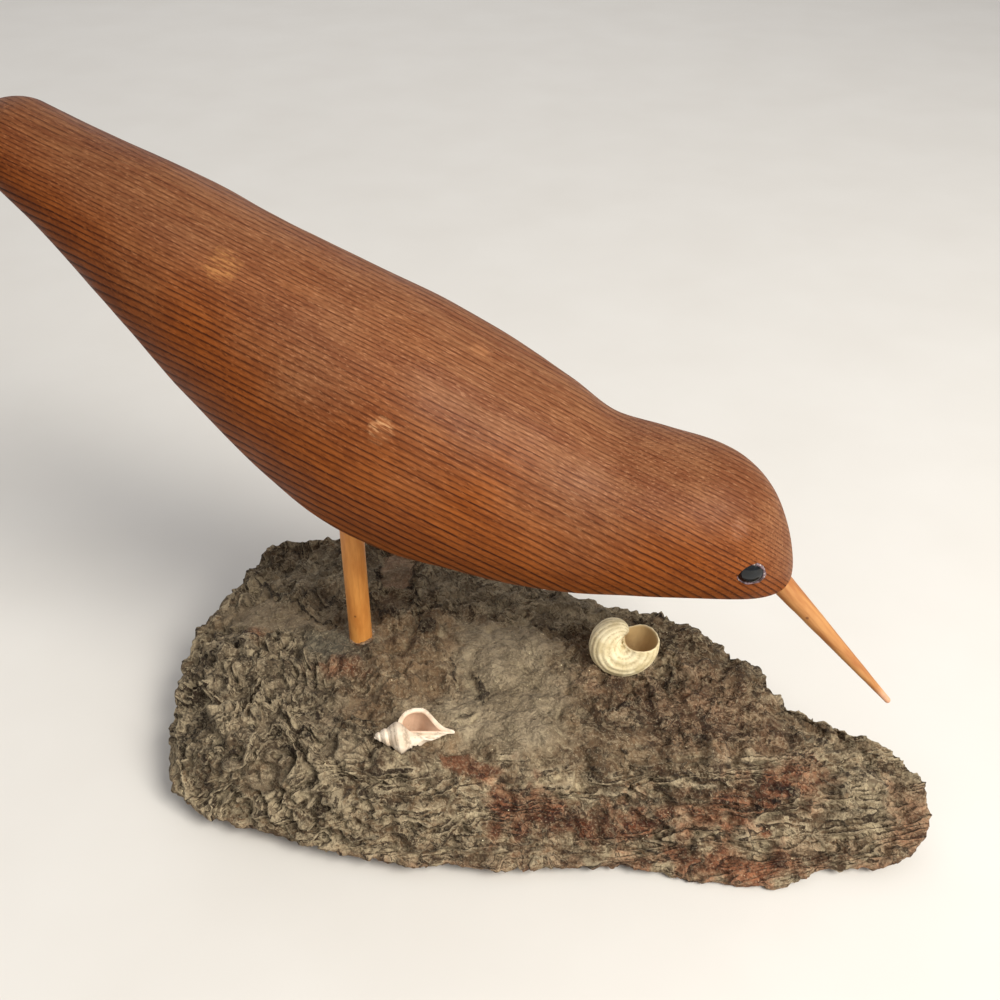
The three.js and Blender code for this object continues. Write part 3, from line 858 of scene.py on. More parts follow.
@dataclass(frozen=True)
class CarvedWood(Finish):
    """Reddish softwood with fine straight rings, rubbed to a low sheen, paler on upward faces and richer on the belly
    partly as painted light and shade, darker toward the tail as painted shade, and with a painted sheen on the head.
    """

    name: str = "carved_red_wood"
    roughness: float = 0.5
    specular: float = 0.1
    coat_roughness: float = 0.36
    # The rich colours go on the belly and the pale ones on upward faces; the difference is partly fading, partly
    # painted shade below and painted light above.
    rich_early: Rgb = (142, 76, 27)
    rich_early_deep: Rgb = (116, 58, 16)
    rich_late: Rgb = (48, 16, 3)
    pale_early: Rgb = (134, 89, 57)
    pale_early_deep: Rgb = (112, 67, 40)
    pale_late: Rgb = (66, 32, 12)
    spacing: RingSpacing = RingSpacing()
    wear_and_sheen: tuple[WearAndSheenPatch, ...] = (
        WearAndSheenPatch((-23.5, -18.4, 183.2), 6.0, 0.6, (178, 124, 72)),
        WearAndSheenPatch((23.7, -33.7, 145.6), 4.6, 0.7, (208, 154, 106)),
        WearAndSheenPatch((45.5, -5.2, 157.8), 4.0, 0.3, (188, 130, 84)),
        # Painted sheen: pale streaks on the head where light shines off it.
        WearAndSheenPatch((124.1, -17.4, 115.1), 4.0, 0.24, (190, 142, 112)),
    )

    def ring_count(self, sheet: Sheet, place: Flow) -> Flow:
        """Counts the rings at a place.

        Args:
            sheet: The material's sheet.
            place: Place in millimetres.

        Returns:
            The running count.
        """
        across = sheet.dot(place, self.spacing.across)
        slow = sheet.noise(place, 42.0, 1.0) - 0.5
        wobble = sheet.noise(place, 8.0, 2.0) - 0.5
        across = across + slow * 0.9 + wobble * 0.34
        places, counts = self.spacing.counts()
        low, high, total = places[0], places[-1], counts[-1]
        share = (across - float(low)) / float(high - low)
        node = sheet.add("ShaderNodeFloatCurve", {"Value": share})
        curve = node.mapping.curves[0]
        shares = list(zip((places - low) / (high - low), counts / total))
        curve.points[0].location = shares[0]
        curve.points[1].location = shares[-1]
        for point in shares[1:-1]:
            curve.points.new(*point)
        node.mapping.update()
        return Flow(sheet, node.outputs[0]) * float(total)

    def material(self, effects: Effects) -> Material:
        """Builds the material.

        Args:
            effects: The shared groups.

        Returns:
            The material.
        """
        sheet = self.start()
        place, fade_and_painted_light = sheet.place, sheet.attribute("fade_and_painted_light")
        lines, band = sheet.use(effects.rings, {"Count": self.ring_count(sheet, place), "Sharpness": 1.7})
        fine, dashes, long = effects.streaks(sheet, self.spacing.along, (7.0, 0.42), (12.0, 0.9), (9.0, 3.0))
        broken = sheet.graded(dashes, 0.32, 0.54, 0.35, 1.0)
        solid = sheet.graded(long, 0.3, 0.6, 0.86, 1.0)
        keep = solid * (1.0 - fade_and_painted_light) + broken * fade_and_painted_light
        line = lines * keep * (1.0 - fade_and_painted_light * 0.16) * sheet.graded(band, 0.0, 0.9, 0.72, 1.0)
        tone = sheet.graded(long, 0.32, 0.68)
        rich = sheet.mix(tone, self.rich_early_deep, self.rich_early)
        pale = sheet.mix(tone, self.pale_early_deep, self.pale_early)
        # Pale colours on upward faces and rich ones on the belly: partly fading, partly painted light above and
        # painted shade below.
        early = sheet.mix(fade_and_painted_light, rich, pale)
        late = sheet.mix(fade_and_painted_light, self.rich_late, self.pale_late)
        early = sheet.mix(band * 0.3, early, sheet.mix(fade_and_painted_light, (120, 60, 22), (130, 78, 48)))
        blotch = sheet.graded(sheet.noise(place, 22.0, 3.0, 0.6), 0.45, 0.68)
        early = sheet.mix(blotch * 0.32, early, (100, 50, 24))
        colour = sheet.mix(line, early, late)
        colour = sheet.mix(sheet.graded(fine, 0.45, 0.3) * 0.5, colour, late)
        lights = sheet.graded(fine, 0.54, 0.7) * 0.42
        colour = sheet.mix(lights, colour, sheet.mix(fade_and_painted_light, (164, 94, 44), (182, 132, 94)))
        # Painted shade: the wood darkens toward the tail.
        tail_painted_shade = sheet.graded(sheet.dot(place, (1.0, 0.0, 0.0)), 40.0, -95.0)
        colour = sheet.mix(tail_painted_shade, colour, (220, 213, 202), "MULTIPLY")
        # Worn patches and the head's painted sheen, streaked along the grain.
        streaks = sheet.graded(dashes, 0.42, 0.6, 0.08, 1.0)
        for ragged_patch in self.wear_and_sheen:
            inputs = {"Place": place, "Centre": ragged_patch.centre, "Radius": ragged_patch.radius, "Ragged": 1.1}
            mask = sheet.use(effects.ragged_patch, inputs)[0]
            colour = sheet.mix(mask * streaks * ragged_patch.strength, colour, ragged_patch.colour)
        sheet.feed(sheet.shader.inputs["Coat Weight"], fade_and_painted_light * sheet.graded(fine, 0.3, 0.6, 0.01, 0.04))
        roughness = sheet.graded(sheet.noise(place, 14.0, 3.0, 0.6), 0.3, 0.7, 0.46, 0.6) + line * 0.1
        height = fine * 0.9 - line * 0.5 + sheet.noise(place, 2.2, 2.0) * 0.4
        return sheet.finish(colour, roughness, height, 0.09)


@dataclass(frozen=True)
class DowelWood(Finish):
    """Light straight-grained wood of a turned dowel."""

    name: str = "dowel_wood"
    roughness: float = 0.5
    light: Rgb = (214, 160, 100)
    dark: Rgb = (188, 124, 66)
    fleck: Rgb = (98, 52, 22)
    fleck_share: float = 0.05
    along: Point = (0.0, 0.0, 1.0)
    across: Point = (0.8, 0.6, 0.0)
    ring_spacing: float = 1.7
    tip: Point = (0.0, 0.0, 0.0)
    tip_radius: float = 0.0

    def material(self, effects: Effects) -> Material:
        """Builds the material.

        Args:
            effects: The shared groups.

        Returns:
            The material.
        """
        sheet = self.start()
        place = sheet.place
        wobble = sheet.noise(place, 12.0, 2.0) - 0.5
        count = (sheet.dot(place, self.across) + wobble * 0.8) / self.ring_spacing
        lines = sheet.use(effects.rings, {"Count": count, "Sharpness": 1.0})[0]
        fine, long = effects.streaks(sheet, self.along, (16.0, 0.5), (6.0, 3.0))
        colour = sheet.mix(sheet.graded(long, 0.3, 0.7), self.dark, self.light)
        grain = lines * sheet.graded(fine, 0.3, 0.65)
        colour = sheet.mix(grain * 0.4, colour, self.dark)
        dots = sheet.use(effects.specks, {"Place": place, "Size": 2.4, "Share": self.fleck_share})[0]
        colour = sheet.mix(dots * 0.75, colour, self.fleck)
        if self.tip_radius > 0.0:
            inputs = {"Place": place, "Centre": self.tip, "Radius": self.tip_radius, "Ragged": 0.5}
            mask = sheet.use(effects.ragged_patch, inputs)[0]
            colour = sheet.mix(mask * 0.7, colour, (222, 170, 136))
        return sheet.finish(colour, sheet.graded(fine, 0.3, 0.7, 0.42, 0.58), fine + grain * 0.6, 0.06)


@dataclass(frozen=True)
class EyeGlass(Finish):
    """Dark glossy glass with a faint lighter depth."""

    name: str = "dark_eye_glass"
    roughness: float = 0.08
    specular: float = 0.45

    def material(self, effects: Effects) -> Material:
        """Builds the material.

        Args:
            effects: The shared groups.

        Returns:
            The material.
        """
        sheet = self.start()
        place = sheet.place
        cloud = sheet.graded(sheet.noise(place, 2.4, 2.0), 0.4, 0.7)
        colour = sheet.mix(cloud * 0.6, (5, 7, 9), (20, 28, 34))
        smear = sheet.graded(sheet.noise(place, 1.3, 3.0, 0.6), 0.45, 0.75, 0.1, 0.26)
        dust = sheet.use(effects.specks, {"Place": place, "Size": 0.7, "Share": 0.08})[0]
        return sheet.finish(colour, smear, dust, 0.01)


@dataclass(frozen=True)
class DriedGlue(Finish):
    """Yellowish dried glue with dust in it."""

    name: str = "dried_glue"
    roughness: float = 0.35
    clear: Rgb = (158, 130, 96)
    dusty: Rgb = (96, 78, 58)

    def material(self, effects: Effects) -> Material:
        """Builds the material.

        Args:
            effects: The shared groups.

        Returns:
            The material.
        """
        sheet = self.start()
        place = sheet.place
        dust = sheet.graded(sheet.noise(place, 1.1, 4.0, 0.65), 0.4, 0.62)
        colour = sheet.mix(dust, self.clear, self.dusty)
        grains = sheet.use(effects.specks, {"Place": place, "Size": 0.8, "Share": 0.2})[0]
        colour = sheet.mix(grains * 0.6, colour, (232, 222, 200))
        roughness = sheet.graded(dust, 0.0, 1.0, 0.22, 0.7)
        return sheet.finish(colour, roughness, sheet.noise(place, 0.8, 4.0, 0.6), 0.25)


BARK_TONES = (
    "relief", "pale", "red", "dark", "teal", "layer", "layer_on", "comb", "comb_on", "flake_on", "rake_on")


@dataclass(frozen=True)
class OldBark(Finish):
    """Weathered bark whose tones follow what is stored on its vertices, with painted highlights on ridges and lips and
    painted shade in crevices, grooves and gaps.
    """

    name: str = "old_bark"
    roughness: float = 0.88
    specular: float = 0.3
    rake: tuple[Point, ...] = ((0.287, -0.088, 0.0), (0.293, 0.956, 0.0), (0.0, 0.0, 1.0))

    def material(self, effects: Effects) -> Material:
        """Builds the material.

        Args:
            effects: The shared groups.

        Returns:
            The material.
        """
        sheet = self.start()
        place = sheet.place
        relief, pale, red, dark, teal, layer, layer_on, comb, comb_on, flake_on, rake_on = (
            sheet.attribute(name) for name in BARK_TONES)
        patches = sheet.noise(place, 13.0, 4.0, 0.62)
        blots = sheet.noise(place, 4.4, 4.0, 0.62)
        fine = sheet.noise(place, 1.7, 3.0, 0.65)
        grain = sheet.noise(place, 0.8, 2.0, 0.7)
        colour = sheet.mix(sheet.graded(patches, 0.36, 0.64), (104, 80, 56), (147, 120, 88))
        # The pale tone is sandy bark in the middle and painted light over the back and the left, where the bird's
        # shadow falls.
        sand_and_painted_light = sheet.mix(sheet.graded(patches, 0.3, 0.7), (128, 113, 89), (166, 150, 122))
        colour = sheet.mix(pale, colour, sand_and_painted_light)
        blotted = sheet.graded(blots, 0.35, 0.65)
        colour = sheet.mix(teal, colour, sheet.mix(blotted, (92, 84, 68), (74, 76, 66)))
        rust = sheet.mix(blotted, (76, 40, 24), (132, 82, 54))
        colour = sheet.mix(red * sheet.graded(patches, 0.3, 0.6, 0.4, 1.0), colour, rust)
        colour = sheet.mix(dark * sheet.graded(fine, 0.7, 0.3, 0.5, 1.0), colour, (56, 43, 31))
        lichen = sheet.graded(blots, 0.5, 0.72)
        colour = sheet.mix(lichen * (1.0 - red * 0.9) * 0.5, colour, (148, 133, 103))
        soot = sheet.graded(sheet.noise(place, 6.5, 4.0, 0.65), 0.48, 0.68)
        colour = sheet.mix(soot * (1.0 - pale) * 0.6, colour, (58, 45, 33))
        # Painted highlight on ridges and painted shade in crevices, both read from the stored relief.
        ridge = sheet.graded(relief, 0.06, 0.6) * sheet.graded(fine, 0.2, 0.6, 0.3, 1.0)
        colour = sheet.mix(ridge * 0.72, colour, sheet.mix(red * 0.7, (188, 172, 138), (172, 132, 100)))
        colour = sheet.mix(sheet.graded(relief, -0.1, -0.8) * 0.88, colour, (40, 28, 18))
        layer = layer + (blots - 0.5) * 0.4 + (fine - 0.5) * 0.14
        comb = comb + (blots - 0.5) * 0.5 + (fine - 0.5) * 0.4
        bend = (sheet.noise(place, 9.0, 4.0, 0.6) - 0.5) * 9.0
        bent = sheet.vector("ADD", place, sheet.combine((patches - 0.5) * 9.0, bend, (fine - 0.5) * 2.0))
        raked = sheet.combine(*(sheet.dot(bent, row) for row in self.rake))
        flakes = ((bent, 8.0, flake_on), (bent, 3.2, flake_on), (raked, 5.2, rake_on), (raked, 2.2, rake_on))
        for at, size, share in flakes:
            border, tone = sheet.cells(at, size)
            worn = sheet.mix(sheet.graded(tone, 0.3, 0.7), (188, 186, 184), (255, 255, 255))
            colour = sheet.mix(share * 0.75, colour, worn, "MULTIPLY")
            # Painted highlight on the flakes' lips and painted shade in the gaps between them.
            lip = sheet.graded(border, 0.05, 0.09) * sheet.graded(border, 0.24, 0.12) * sheet.graded(tone, 0.45, 0.65)
            colour = sheet.mix(lip * share * 0.4, colour, (186, 170, 138))
            gap = sheet.graded(border, 0.08, 0.02) * sheet.graded(blots, 0.42, 0.58)
            colour = sheet.mix(gap * share * 0.8, colour, (46, 33, 21))
        lines = (
            (layer, 0.15, layer_on, 0.95),
            (layer * 3.7, 0.26, layer_on * sheet.graded(blots, 0.44, 0.56), 0.75),
            (comb, 0.3, comb_on * sheet.graded(blots, 0.4, 0.52), 0.9),
        )
        # Each line gets a painted highlight on its lip and painted shade in its groove.
        for count, width, share, strength in lines:
            part = sheet.calc("FRACT", count)
            gap = sheet.graded(part, width, width * 0.35) * share * strength
            lip = sheet.graded(part, 1.0 - width * 1.6, 1.0 - width * 0.5) * share * strength
            colour = sheet.mix(lip * 0.65, colour, sheet.mix(red, (188, 170, 137), (166, 126, 95)))
            colour = sheet.mix(gap, colour, (48, 34, 21))
        reddened = red * sheet.graded(patches, 0.3, 0.6, 0.5, 1.0) * 0.85
        colour = sheet.mix(reddened, colour, (238, 174, 142), "MULTIPLY")
        speckles = (
            (fine, 0.52, 0.78, 0.42, (176, 160, 128)), (fine, 0.44, 0.24, 0.45, (52, 38, 25)),
            (grain, 0.54, 0.76, 0.4, (196, 181, 150)), (grain, 0.44, 0.26, 0.35, (42, 32, 23)),
        )
        for value, low, high, strength, tone in speckles:
            colour = sheet.mix(sheet.graded(value, low, high) * strength, colour, tone)
        height = fine * 0.9 + grain * 0.7 + blots * 0.9
        return sheet.finish(colour, sheet.graded(patches, 0.3, 0.7, 0.95, 0.76), height, 1.2)


@dataclass(frozen=True)
class SeaShell(Finish):
    """Worn shell, chalky outside and tinted inside its mouth, darkening toward the deep colour inside as painted
    shade.
    """

    name: str = "sea_shell"
    roughness: float = 0.62
    light: Rgb = (244, 230, 190)
    shade: Rgb = (214, 196, 150)
    groove: Rgb = (176, 156, 112)
    mouth: Rgb = (212, 180, 126)
    deep: Rgb = (126, 90, 52)

    def material(self, effects: Effects) -> Material:
        """Builds the material.

        Args:
            effects: The shared groups.

        Returns:
            The material.
        """
        sheet = self.start()
        place = sheet.place
        inner, furrow = sheet.attribute("inner"), sheet.attribute("furrow")
        cloud = sheet.noise(place, 4.5, 4.0, 0.6)
        chalk = sheet.noise(place, 0.9, 4.0, 0.65)
        colour = sheet.mix(sheet.graded(cloud, 0.35, 0.68), self.light, self.shade)
        colour = sheet.mix(furrow * sheet.graded(chalk, 0.3, 0.62) * 0.75, colour, self.groove)
        pits = sheet.use(effects.specks, {"Place": place, "Size": 0.9, "Share": 0.1})[0]
        colour = sheet.mix(pits * 0.5, colour, self.groove)
        # Painted shade: the inside darkens from the mouth colour to the deep colour.
        inside = sheet.mix(sheet.graded(inner + (cloud - 0.5) * 0.5, 0.2, 0.9), self.mouth, self.deep)
        colour = sheet.mix(sheet.graded(inner, 0.02, 0.16), colour, inside)
        height = chalk + cloud * 0.6 - pits * 0.4
        return sheet.finish(colour, sheet.graded(inner, 0.0, 0.3, 0.68, 0.4), height, 0.14)


# The bird


@dataclass(frozen=True)
class Station:
    """One cross section of the body, all as shares."""

    at: float
    lift: float
    depth: float
    width: float


@dataclass
class Body:
    """Head, body and tail, carved from one piece."""

    length: float = 273.0
    depth: float = 77.9
    width: float = 75.6
    pitch_deg: float = 31.0
    tail_to_leg: float = 104.0
    line_height: float = 177.9
    tail_round: float = 12.0
    head_round: float = 38.0
    rings: int = 300
    sides: int = 216
    end_rings: int = 40
    seat_radius: float = 4.3
    seat_depth: float = 3.9
    socket_gap: float = 0.3
    tool_marks: float = 0.16
    sections: tuple[Station, ...] = (
        Station(0, -0.267, 0.26, 0.367), Station(0.103, -0.291, 0.396, 0.49),
        Station(0.205, -0.324, 0.573, 0.638), Station(0.308, -0.381, 0.748, 0.771),
        Station(0.41, -0.414, 0.898, 0.898), Station(0.509, -0.422, 1, 1),
        Station(0.601, -0.401, 0.981, 0.991), Station(0.674, -0.357, 0.896, 0.914),
        Station(0.733, -0.32, 0.809, 0.834), Station(0.791, -0.233, 0.767, 0.791),
        Station(0.85, -0.129, 0.701, 0.723), Station(0.916, -0.067, 0.582, 0.6),
        Station(1, -0.098, 0.41, 0.423),
    )

    def in_side_view(self, forward: float | Array, rise: float | Array) -> tuple:
        """Turns a place ahead of the leg and above the body's pitched line into the part's x and z."""
        cosine, sine = math.cos(math.radians(self.pitch_deg)), math.sin(math.radians(self.pitch_deg))
        return forward * cosine + rise * sine, self.line_height - forward * sine + rise * cosine

    def points(self, at: Array, angle: Array) -> Array:
        """Points on the skin. Angle 0 is the right side, a quarter turn the back.

        Args:
            at: Shares of the way from tail to head.
            angle: Angles round the section.

        Returns:
            Points, one row each, in millimetres.
        """
        places = [section.at for section in self.sections]
        lift, deep, wide = (
            smooth_curve(at, places, [getattr(section, key) for section in self.sections])
            for key in ("lift", "depth", "width"))
        tail = np.clip(at * self.length / self.tail_round, 0, 1)
        head = np.clip((1 - at) * self.length / self.head_round, 0, 1)
        ends = np.sqrt((1 - (1 - tail) ** 2) * (1 - (1 - head) ** 2))
        rise = (lift + deep / 2 * ends * np.sin(angle)) * self.depth
        x, z = self.in_side_view(at * self.length - self.tail_to_leg, rise)
        y = -wide / 2 * self.width * ends * np.cos(angle)
        return np.stack([x, y, z], axis=-1)

    def stations(self) -> Array:
        """Places of the rings, closer together at the rounded ends."""
        tail = self.tail_round / self.length
        head = self.head_round / self.length
        quarter = np.linspace(0.0, math.pi / 2, self.end_rings)[1:]
        start = tail * (1 - np.cos(quarter))
        end = 1 - head * (1 - np.cos(quarter[::-1]))
        middle = np.linspace(tail, 1 - head, self.rings - 2 * self.end_rings)[1:-1]
        return np.concatenate([start, middle, end])

    def mesh(self) -> Mesh:
        """Lofts the skin, with the faint flats that hand tools leave.

        Returns:
            The mesh.
        """
        at = self.stations()
        angles = np.arange(self.sides) * TURN / self.sides
        grid_at, grid_angle = np.meshgrid(at, angles, indexing="ij")
        skin = self.points(grid_at.ravel(), grid_angle.ravel())
        tips = self.points(np.array([0.0, 1.0]), np.array([0.0, 0.0]))
        middle = self.points(grid_at.ravel(), grid_angle.ravel() + math.pi)
        outward = skin - middle
        outward /= np.linalg.norm(outward, axis=1)[:, None] + TINY
        marks = Grit(11).at(skin, 17.0, 2) * self.tool_marks - self.tool_marks * 0.5
        skin = skin + outward * marks[:, None]
        points = np.concatenate([tips[:1], skin, tips[1:]])
        faces = [block[:, ::-1] for block in ring_faces(len(at), self.sides)]
        mesh = plain_mesh("body_carving", points, faces)
        # Paler on upward faces, darker and richer on the belly: partly fading, partly painted light on top and painted
        # shade underneath.
        upwards = np.concatenate([[0.0], outward[:, 2], [0.0]])
        patchy = Grit(13).at(points, 26.0, 3) * 0.16
        store(mesh, "fade_and_painted_light", ease(upwards + patchy, -0.12, 0.82))
        return mesh

    def build(self, cutters: Sequence[Object], material: Material) -> None:
        """Makes the carving and cuts its seats and sockets.

        Args:
            cutters: What stands in the seats and sockets, grown by a fit.
            material: The wood.
        """
        piece = add_object("body_carving", self.mesh())
        cut_away(piece, cutters)
        piece.data.set_sharp_from_angle(angle=math.radians(40))
        dress(piece, material, Slot.BODY, "body")


@dataclass
class Bill:
    """Tapered dowel let into the head, a little uneven from sanding by hand."""

    body: Body
    length: float = 59.0
    tenon: float = 12.0
    root_diameter: float = 7.4
    tip_diameter: float = 1.9
    droop_deg: float = 47.0
    root_at: float = 0.996
    root_lift: float = -0.11
    sides: int = 48
    rings: int = 110
    tip_rings: int = 8
    uneven: float = 0.03

    def matrix(self) -> Matrix:
        """Place of the bill's root, with +Z down the bill.

        Returns:
            The matrix, in metres.
        """
        forward = self.root_at * self.body.length - self.body.tail_to_leg
        x, z = self.body.in_side_view(forward, self.root_lift * self.body.depth)
        droop = math.radians(self.droop_deg)
        return place_along(Vector((x, 0, z)), Vector((math.cos(droop), 0, -math.sin(droop))))

    def radius(self, along: Array) -> Array:
        """Radius of the bill at distances from its root."""
        share = np.clip(along / self.length, 0.0, 1.0)
        return (self.root_diameter + (self.tip_diameter - self.root_diameter) * share) / 2

    def mesh(self, grow: float = 0.0) -> Mesh:
        """Turns the dowel.

        Args:
            grow: How much to grow it, for a cutter.

        Returns:
            The mesh, in place.
        """
        tip = self.tip_diameter / 2
        straight = self.length - tip
        profile = [(0.0, -self.tenon - grow)]
        for along in np.linspace(-self.tenon - grow, straight, self.rings):
            profile.append((float(self.radius(np.array(along))) + grow, float(along)))
        for turn in np.linspace(0.0, math.pi / 2, self.tip_rings)[1:-1]:
            profile.append((tip * math.cos(turn) + grow * math.cos(turn), straight + tip * math.sin(turn)))
        profile.append((0.0, self.length))
        mesh = turned_piece("bill_dowel", profile, self.sides)
        if grow == 0.0:
            self.sand(mesh)
        mesh.transform(self.matrix())
        return mesh

    def sand(self, mesh: Mesh) -> None:
        """Gives the dowel the slight unevenness of sanding by hand."""
        count = len(mesh.vertices)
        points = np.zeros(count * 3)
        mesh.vertices.foreach_get("co", points)
        points = points.reshape(-1, 3) / MM
        uneven = 1.0 - self.uneven * (Grit(21).at(points, 6.0, 2) * 0.5 + 0.5)
        points[:, :2] *= uneven[:, None]
        mesh.vertices.foreach_set("co", (points * MM).ravel())
        mesh.update()

    def build(self, material: Material) -> None:
        """Makes the bill."""
        dress(add_object("bill_dowel", self.mesh()), material, Slot.BILL, "bill")


@dataclass
class Eyes:
    """Two domed glass eyes in drilled seats, each in a thin ring of glue."""

    body: Body
    diameter: float = 8.0
    dome: float = 1.6
    back: float = 2.4
    recess: float = 1.2
    station: float = 0.935
    rise_deg: float = 13.0
    splay_deg: float = 9.0
    dip_deg: float = 5.0
    sides: int = 56
    dome_rings: int = 22

    def matrix(self, side: int) -> Matrix:
        """Place of an eye, with +Z outwards.

        Args:
            side: -1 for the right eye, 1 for the left.

        Returns:
            The matrix, in metres.
        """
        rise = math.radians(self.rise_deg)
        angle = rise if side < 0 else math.pi - rise
        point = self.body.points(np.array([self.station]), np.array([angle]))[0]
        splay, dip = math.radians(self.splay_deg), math.radians(self.dip_deg)
        outwards = Vector((math.sin(splay), side * math.cos(splay), -math.sin(dip)))
        return place_along(Vector(point), outwards)

    def seat(self, side: int) -> Object:
        """The cutter for an eye's seat.

        Args:
            side: -1 for the right eye, 1 for the left.

        Returns:
            The cutter.
        """
        radius, depth = self.body.seat_radius, self.body.seat_depth
        profile = [(0.0, -depth), (radius, -depth), (radius, depth), (0.0, depth)]
        mesh = turned_piece("seat_cutter", profile, self.sides)
        mesh.transform(self.matrix(side))
        return add_object("seat_cutter", mesh)

    def glass(self) -> list[tuple[float, float]]:
        """Profile of the glass."""
        radius = self.diameter / 2
        sphere = (radius**2 + self.dome**2) / (2 * self.dome)
        half = math.asin(radius / sphere)
        profile = [(0.0, -self.recess - self.back), (radius * 0.97, -self.recess - self.back)]
        for angle in np.linspace(half, 0.0, self.dome_rings)[:-1]:
            rise = self.dome - self.recess - sphere * (1 - math.cos(angle))
            profile.append((sphere * math.sin(angle), rise))
        profile.append((0.0, self.dome - self.recess))
        return profile

    def build(self, glass: Material, glue: Material) -> None:
        """Makes both eyes.

        Args:
            glass: Material of the glass.
            glue: Material of the glue.
        """
        for side, name in ((-1, "right"), (1, "left")):
            place = self.matrix(side)
            mesh = turned_piece(f"eye_glass_{name}", self.glass(), self.sides)
            mesh.transform(place)
            dress(add_object(f"eye_glass_{name}", mesh), glass, Slot.EYE, f"eye_{name}")
            ring = GlueBead(
                "eye_glue", self.diameter / 2 + 0.05, 0.1 - self.recess, 0.36, 0.16, 2.2, 2, 31 + side).mesh()
            ring.transform(place)
            dress(add_object(f"eye_glue_{name}", ring), glue, Slot.BODY)


@dataclass
class Leg:
    """Upright dowel between the slab and the belly, with the glue at its foot."""

    diameter: float = 8.0
    bottom: float = 22.0
    top: float = 112.2
    foot: float = 36.0
    chamfer: float = 0.3
    sides: int = 64
    rings: int = 90

    def mesh(self, grow: float = 0.0) -> Mesh:
        """Turns the dowel.

        Args:
            grow: How much to grow it, for a cutter.

        Returns:
            The mesh.
        """
        radius = self.diameter / 2 + grow
        bottom, top = self.bottom - grow, self.top + grow
        profile = [(0.0, bottom), (radius - self.chamfer, bottom), (radius, bottom + self.chamfer)]
        for height in np.linspace(bottom + 2 * self.chamfer, top - 2 * self.chamfer, self.rings):
            dent = 0.0 if grow else 0.04 * math.sin(height * 0.7) + 0.03 * math.sin(height * 2.3 + 1.0)
            profile.append((radius - abs(dent), float(height)))
        profile += [(radius, top - self.chamfer), (radius - self.chamfer, top), (0.0, top)]
        return turned_piece("leg_dowel", profile, self.sides)

    def build(self, wood: Material, glue: Material) -> None:
        """Makes the leg, and the ragged low collar of glue and fibres at its foot.

        Args:
            wood: Material of the dowel.
            glue: Material of the collar.
        """
        dress(add_object("leg_dowel", self.mesh()), wood, Slot.LEG, "leg")
        collar = GlueBead(
            "leg_glue", self.diameter / 2 + 0.1, self.foot + 0.05, 0.62, 0.5, 2.6, 3, 41, wide=1.1, tall=0.7,
            limits=(0.18, 1.4), around=120, section=14)
        dress(add_object("leg_glue", collar.mesh()), glue, Slot.BARK)


# The slab


@dataclass(frozen=True)
class RimPoint:
    """One point of the slab's rim, all as shares."""

    x: float
    y: float
    edge: float
    shoulder: float
    foot: float


@dataclass(frozen=True)
class Crack:
    """A crack in the bark, in plan millimetres."""

    line: Line
    width: float = 0.7
    depth: float = 1.1


@dataclass(frozen=True)
class Patch:
    """An area of the bark with its own surface and tone, in plan millimetres."""

    corners: Line
    blur: float = 2.0
    ragged: float = 2.0
    tone: str = ""
    strength: float = 1.0
    calm: float = 0.0
    step: float = 0.0


